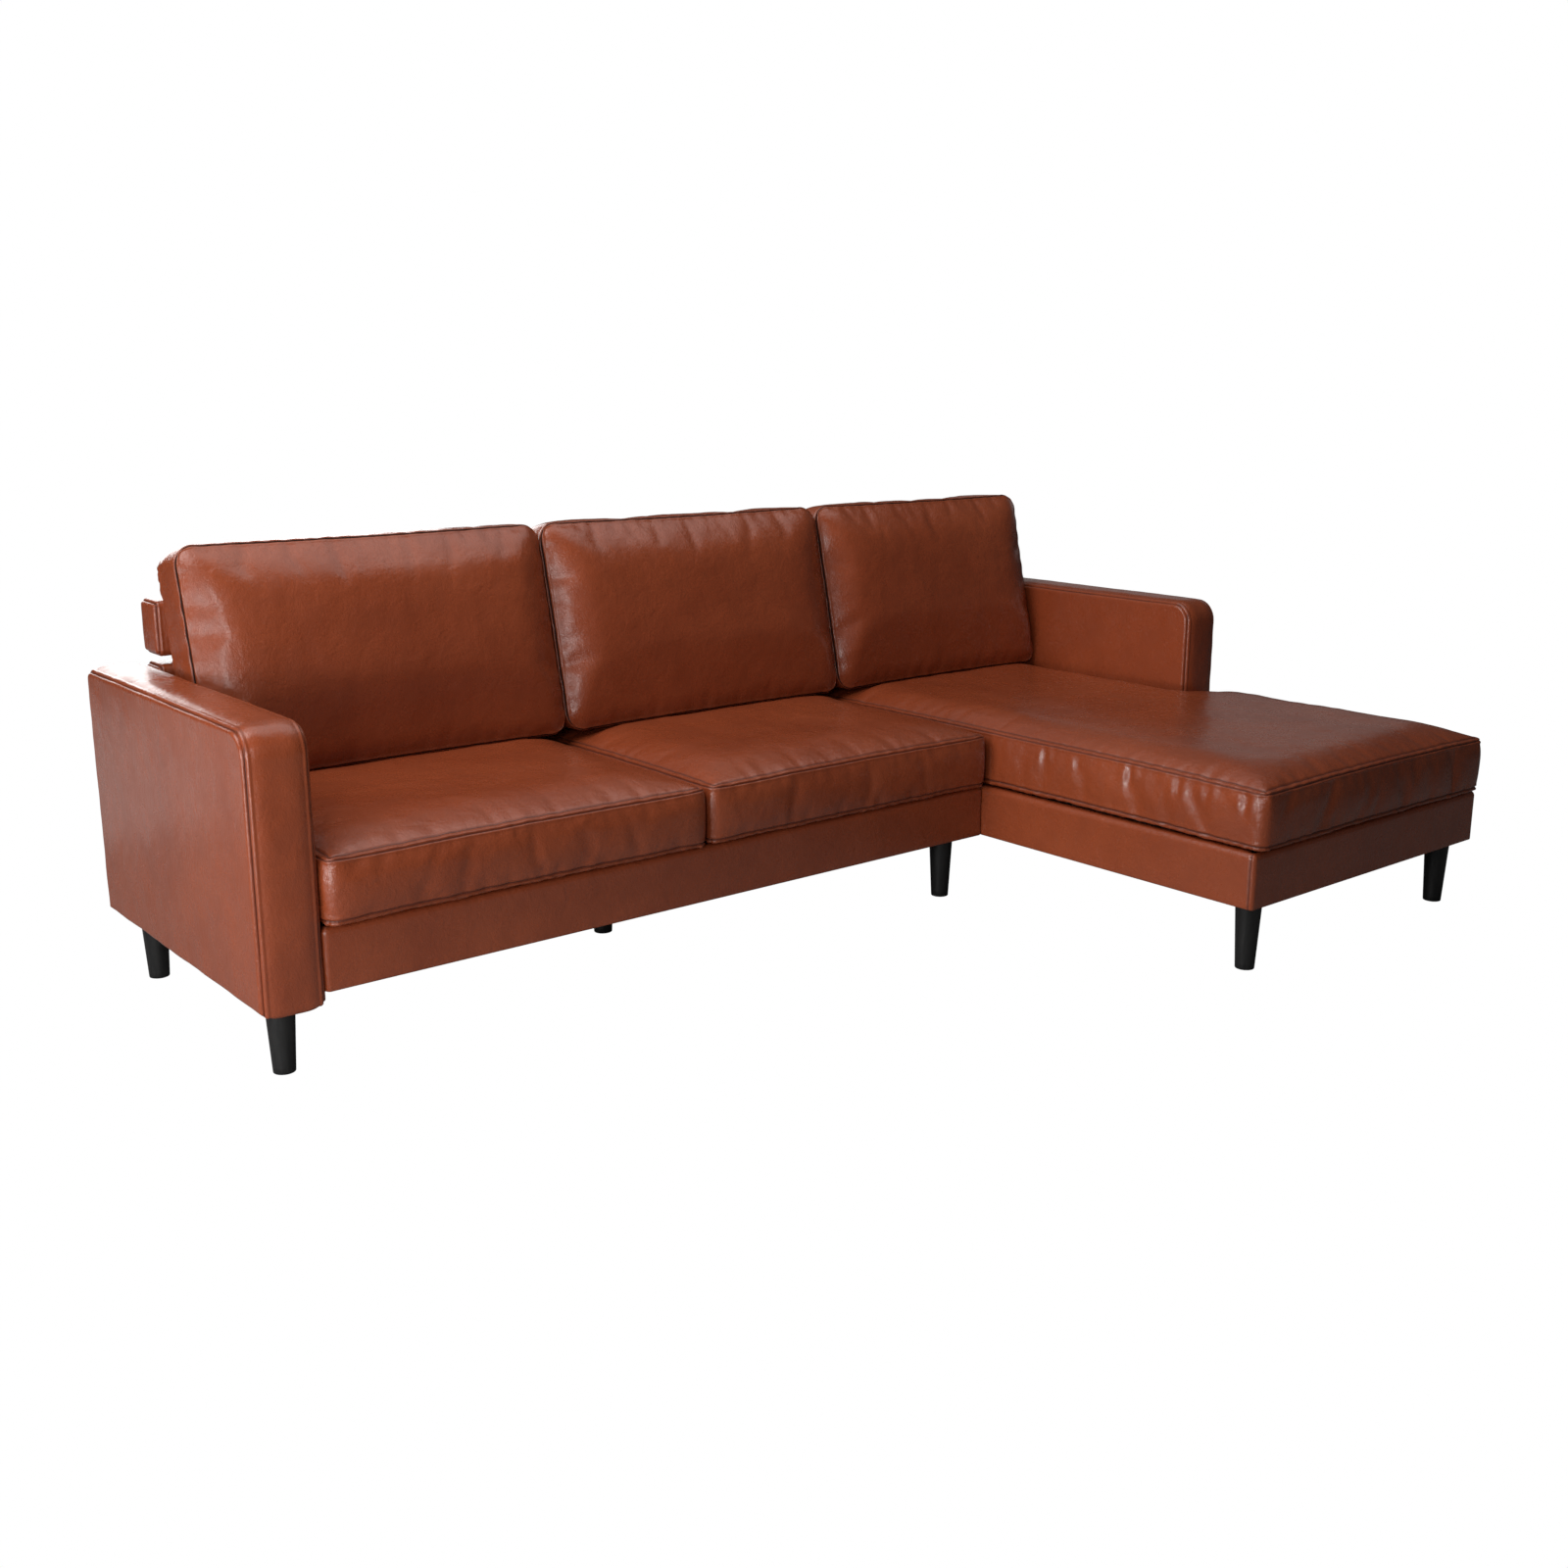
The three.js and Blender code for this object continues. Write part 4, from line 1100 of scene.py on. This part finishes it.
# ---------------------------------------------------------------------------------------------
# Back cushions: a fibre-filled core in a leaning boxed cover, with dark piping sewn into the
# seam round the front panel. They stand on the seats and lean on the back and the padded rail.
# ---------------------------------------------------------------------------------------------
piping_leather, piping_surface = shader("piping_leather", (0.02, 0.007, 0.005), 0.8)
piping_surface.inputs["IOR"].default_value = 1.3
piping_place = place_of(piping_leather)
piping_mottle = noise(piping_leather, piping_place, 60)
piping_tones = (0.010, 0.003, 0.002), (0.035, 0.009, 0.004)
piping_colour = tint_between(piping_leather, piping_mottle, *piping_tones)
wire(piping_leather, piping_colour, piping_surface.inputs["Base Color"])
piping_grain = noise(piping_leather, piping_place, 420)
wire(piping_leather, emboss(piping_leather, piping_grain, 0.0004, 0.7), piping_surface.inputs["Normal"])


def piping(name, piece, loop, body, radius=0.0020, proud=0.0010):
    """A welt: a round cord in leather, radius r, carried along the seam and a little proud."""
    at, along, out = line_frames(piece, loop, 0.006)
    across = np.cross(along, out)
    angle = np.linspace(0, 2 * np.pi, 10, endpoint=False)[None, :, None]
    centre = at + proud * out
    pull = 1 + 0.06 * soft_noise(at, 0.03, 5)[:, None, None]
    spoke = np.cos(angle) * out[:, None] + np.sin(angle) * across[:, None]
    rings = centre[:, None] + radius * pull * spoke
    closed = np.concatenate([rings, rings[:1]])
    welt = new_piece(name, closed, strip_faces(len(closed), 10), piping_leather)
    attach(welt, body)
    return welt


LEAN = math.radians(13)
FACE_FOOT = (0.5110, 0.4350)  # y and z of the front seam's lower edge
FACE_TOP = 0.9055
BACK_DEPTH = 0.106
BACK_CORNER = 0.045
BACK_CROWN = 0.034
BACK_REACH = 0.100
BACK_CAP = 0.021
face_height = (FACE_TOP - FACE_FOOT[1]) / math.cos(LEAN)


def leaning(points):
    """x stays and the panel climbs at the lean. The depth runs level at the foot, where the
    cushion rests, and turns square to the panel by the top."""
    x, up, out = points.T
    tilt = LEAN * np.clip(up / face_height, 0, 1)
    y = FACE_FOOT[0] + math.sin(LEAN) * up - np.cos(tilt) * out
    return np.column_stack([x, y, FACE_FOOT[1] + math.cos(LEAN) * up + np.sin(tilt) * out])


BACK_STOP = 0.7105  # the face of the back that the cushions lean on
back_levels = -graded(0, BACK_DEPTH, step=0.012)
for name, seed in (("back_cushion_left", 404), ("back_cushion_middle", 505), ("back_cushion_right", 606)):
    low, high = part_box(name + "_cover")
    grid = BoxedCushion(
        graded(low.x - 0.001, high.x + 0.003), graded(0, face_height),
        back_levels, BACK_CROWN, 0.001, BACK_CORNER, BACK_REACH, power=3.0, low_reach=0.13,
    )
    bay = ((low.x - 0.003, high.x + 0.003), (low.y - 0.010, BACK_STOP), (low.z - 0.009, high.z + 0.006))
    back = cushion_piece(
        name, grid, leaning(grid.points), BACK_CAP, (0, -1, 0), bay, seed, top_stitched=False,
        panel_fold=0.00018,
    )
    piping(name + "_piping", back, grid.top_loop, name)
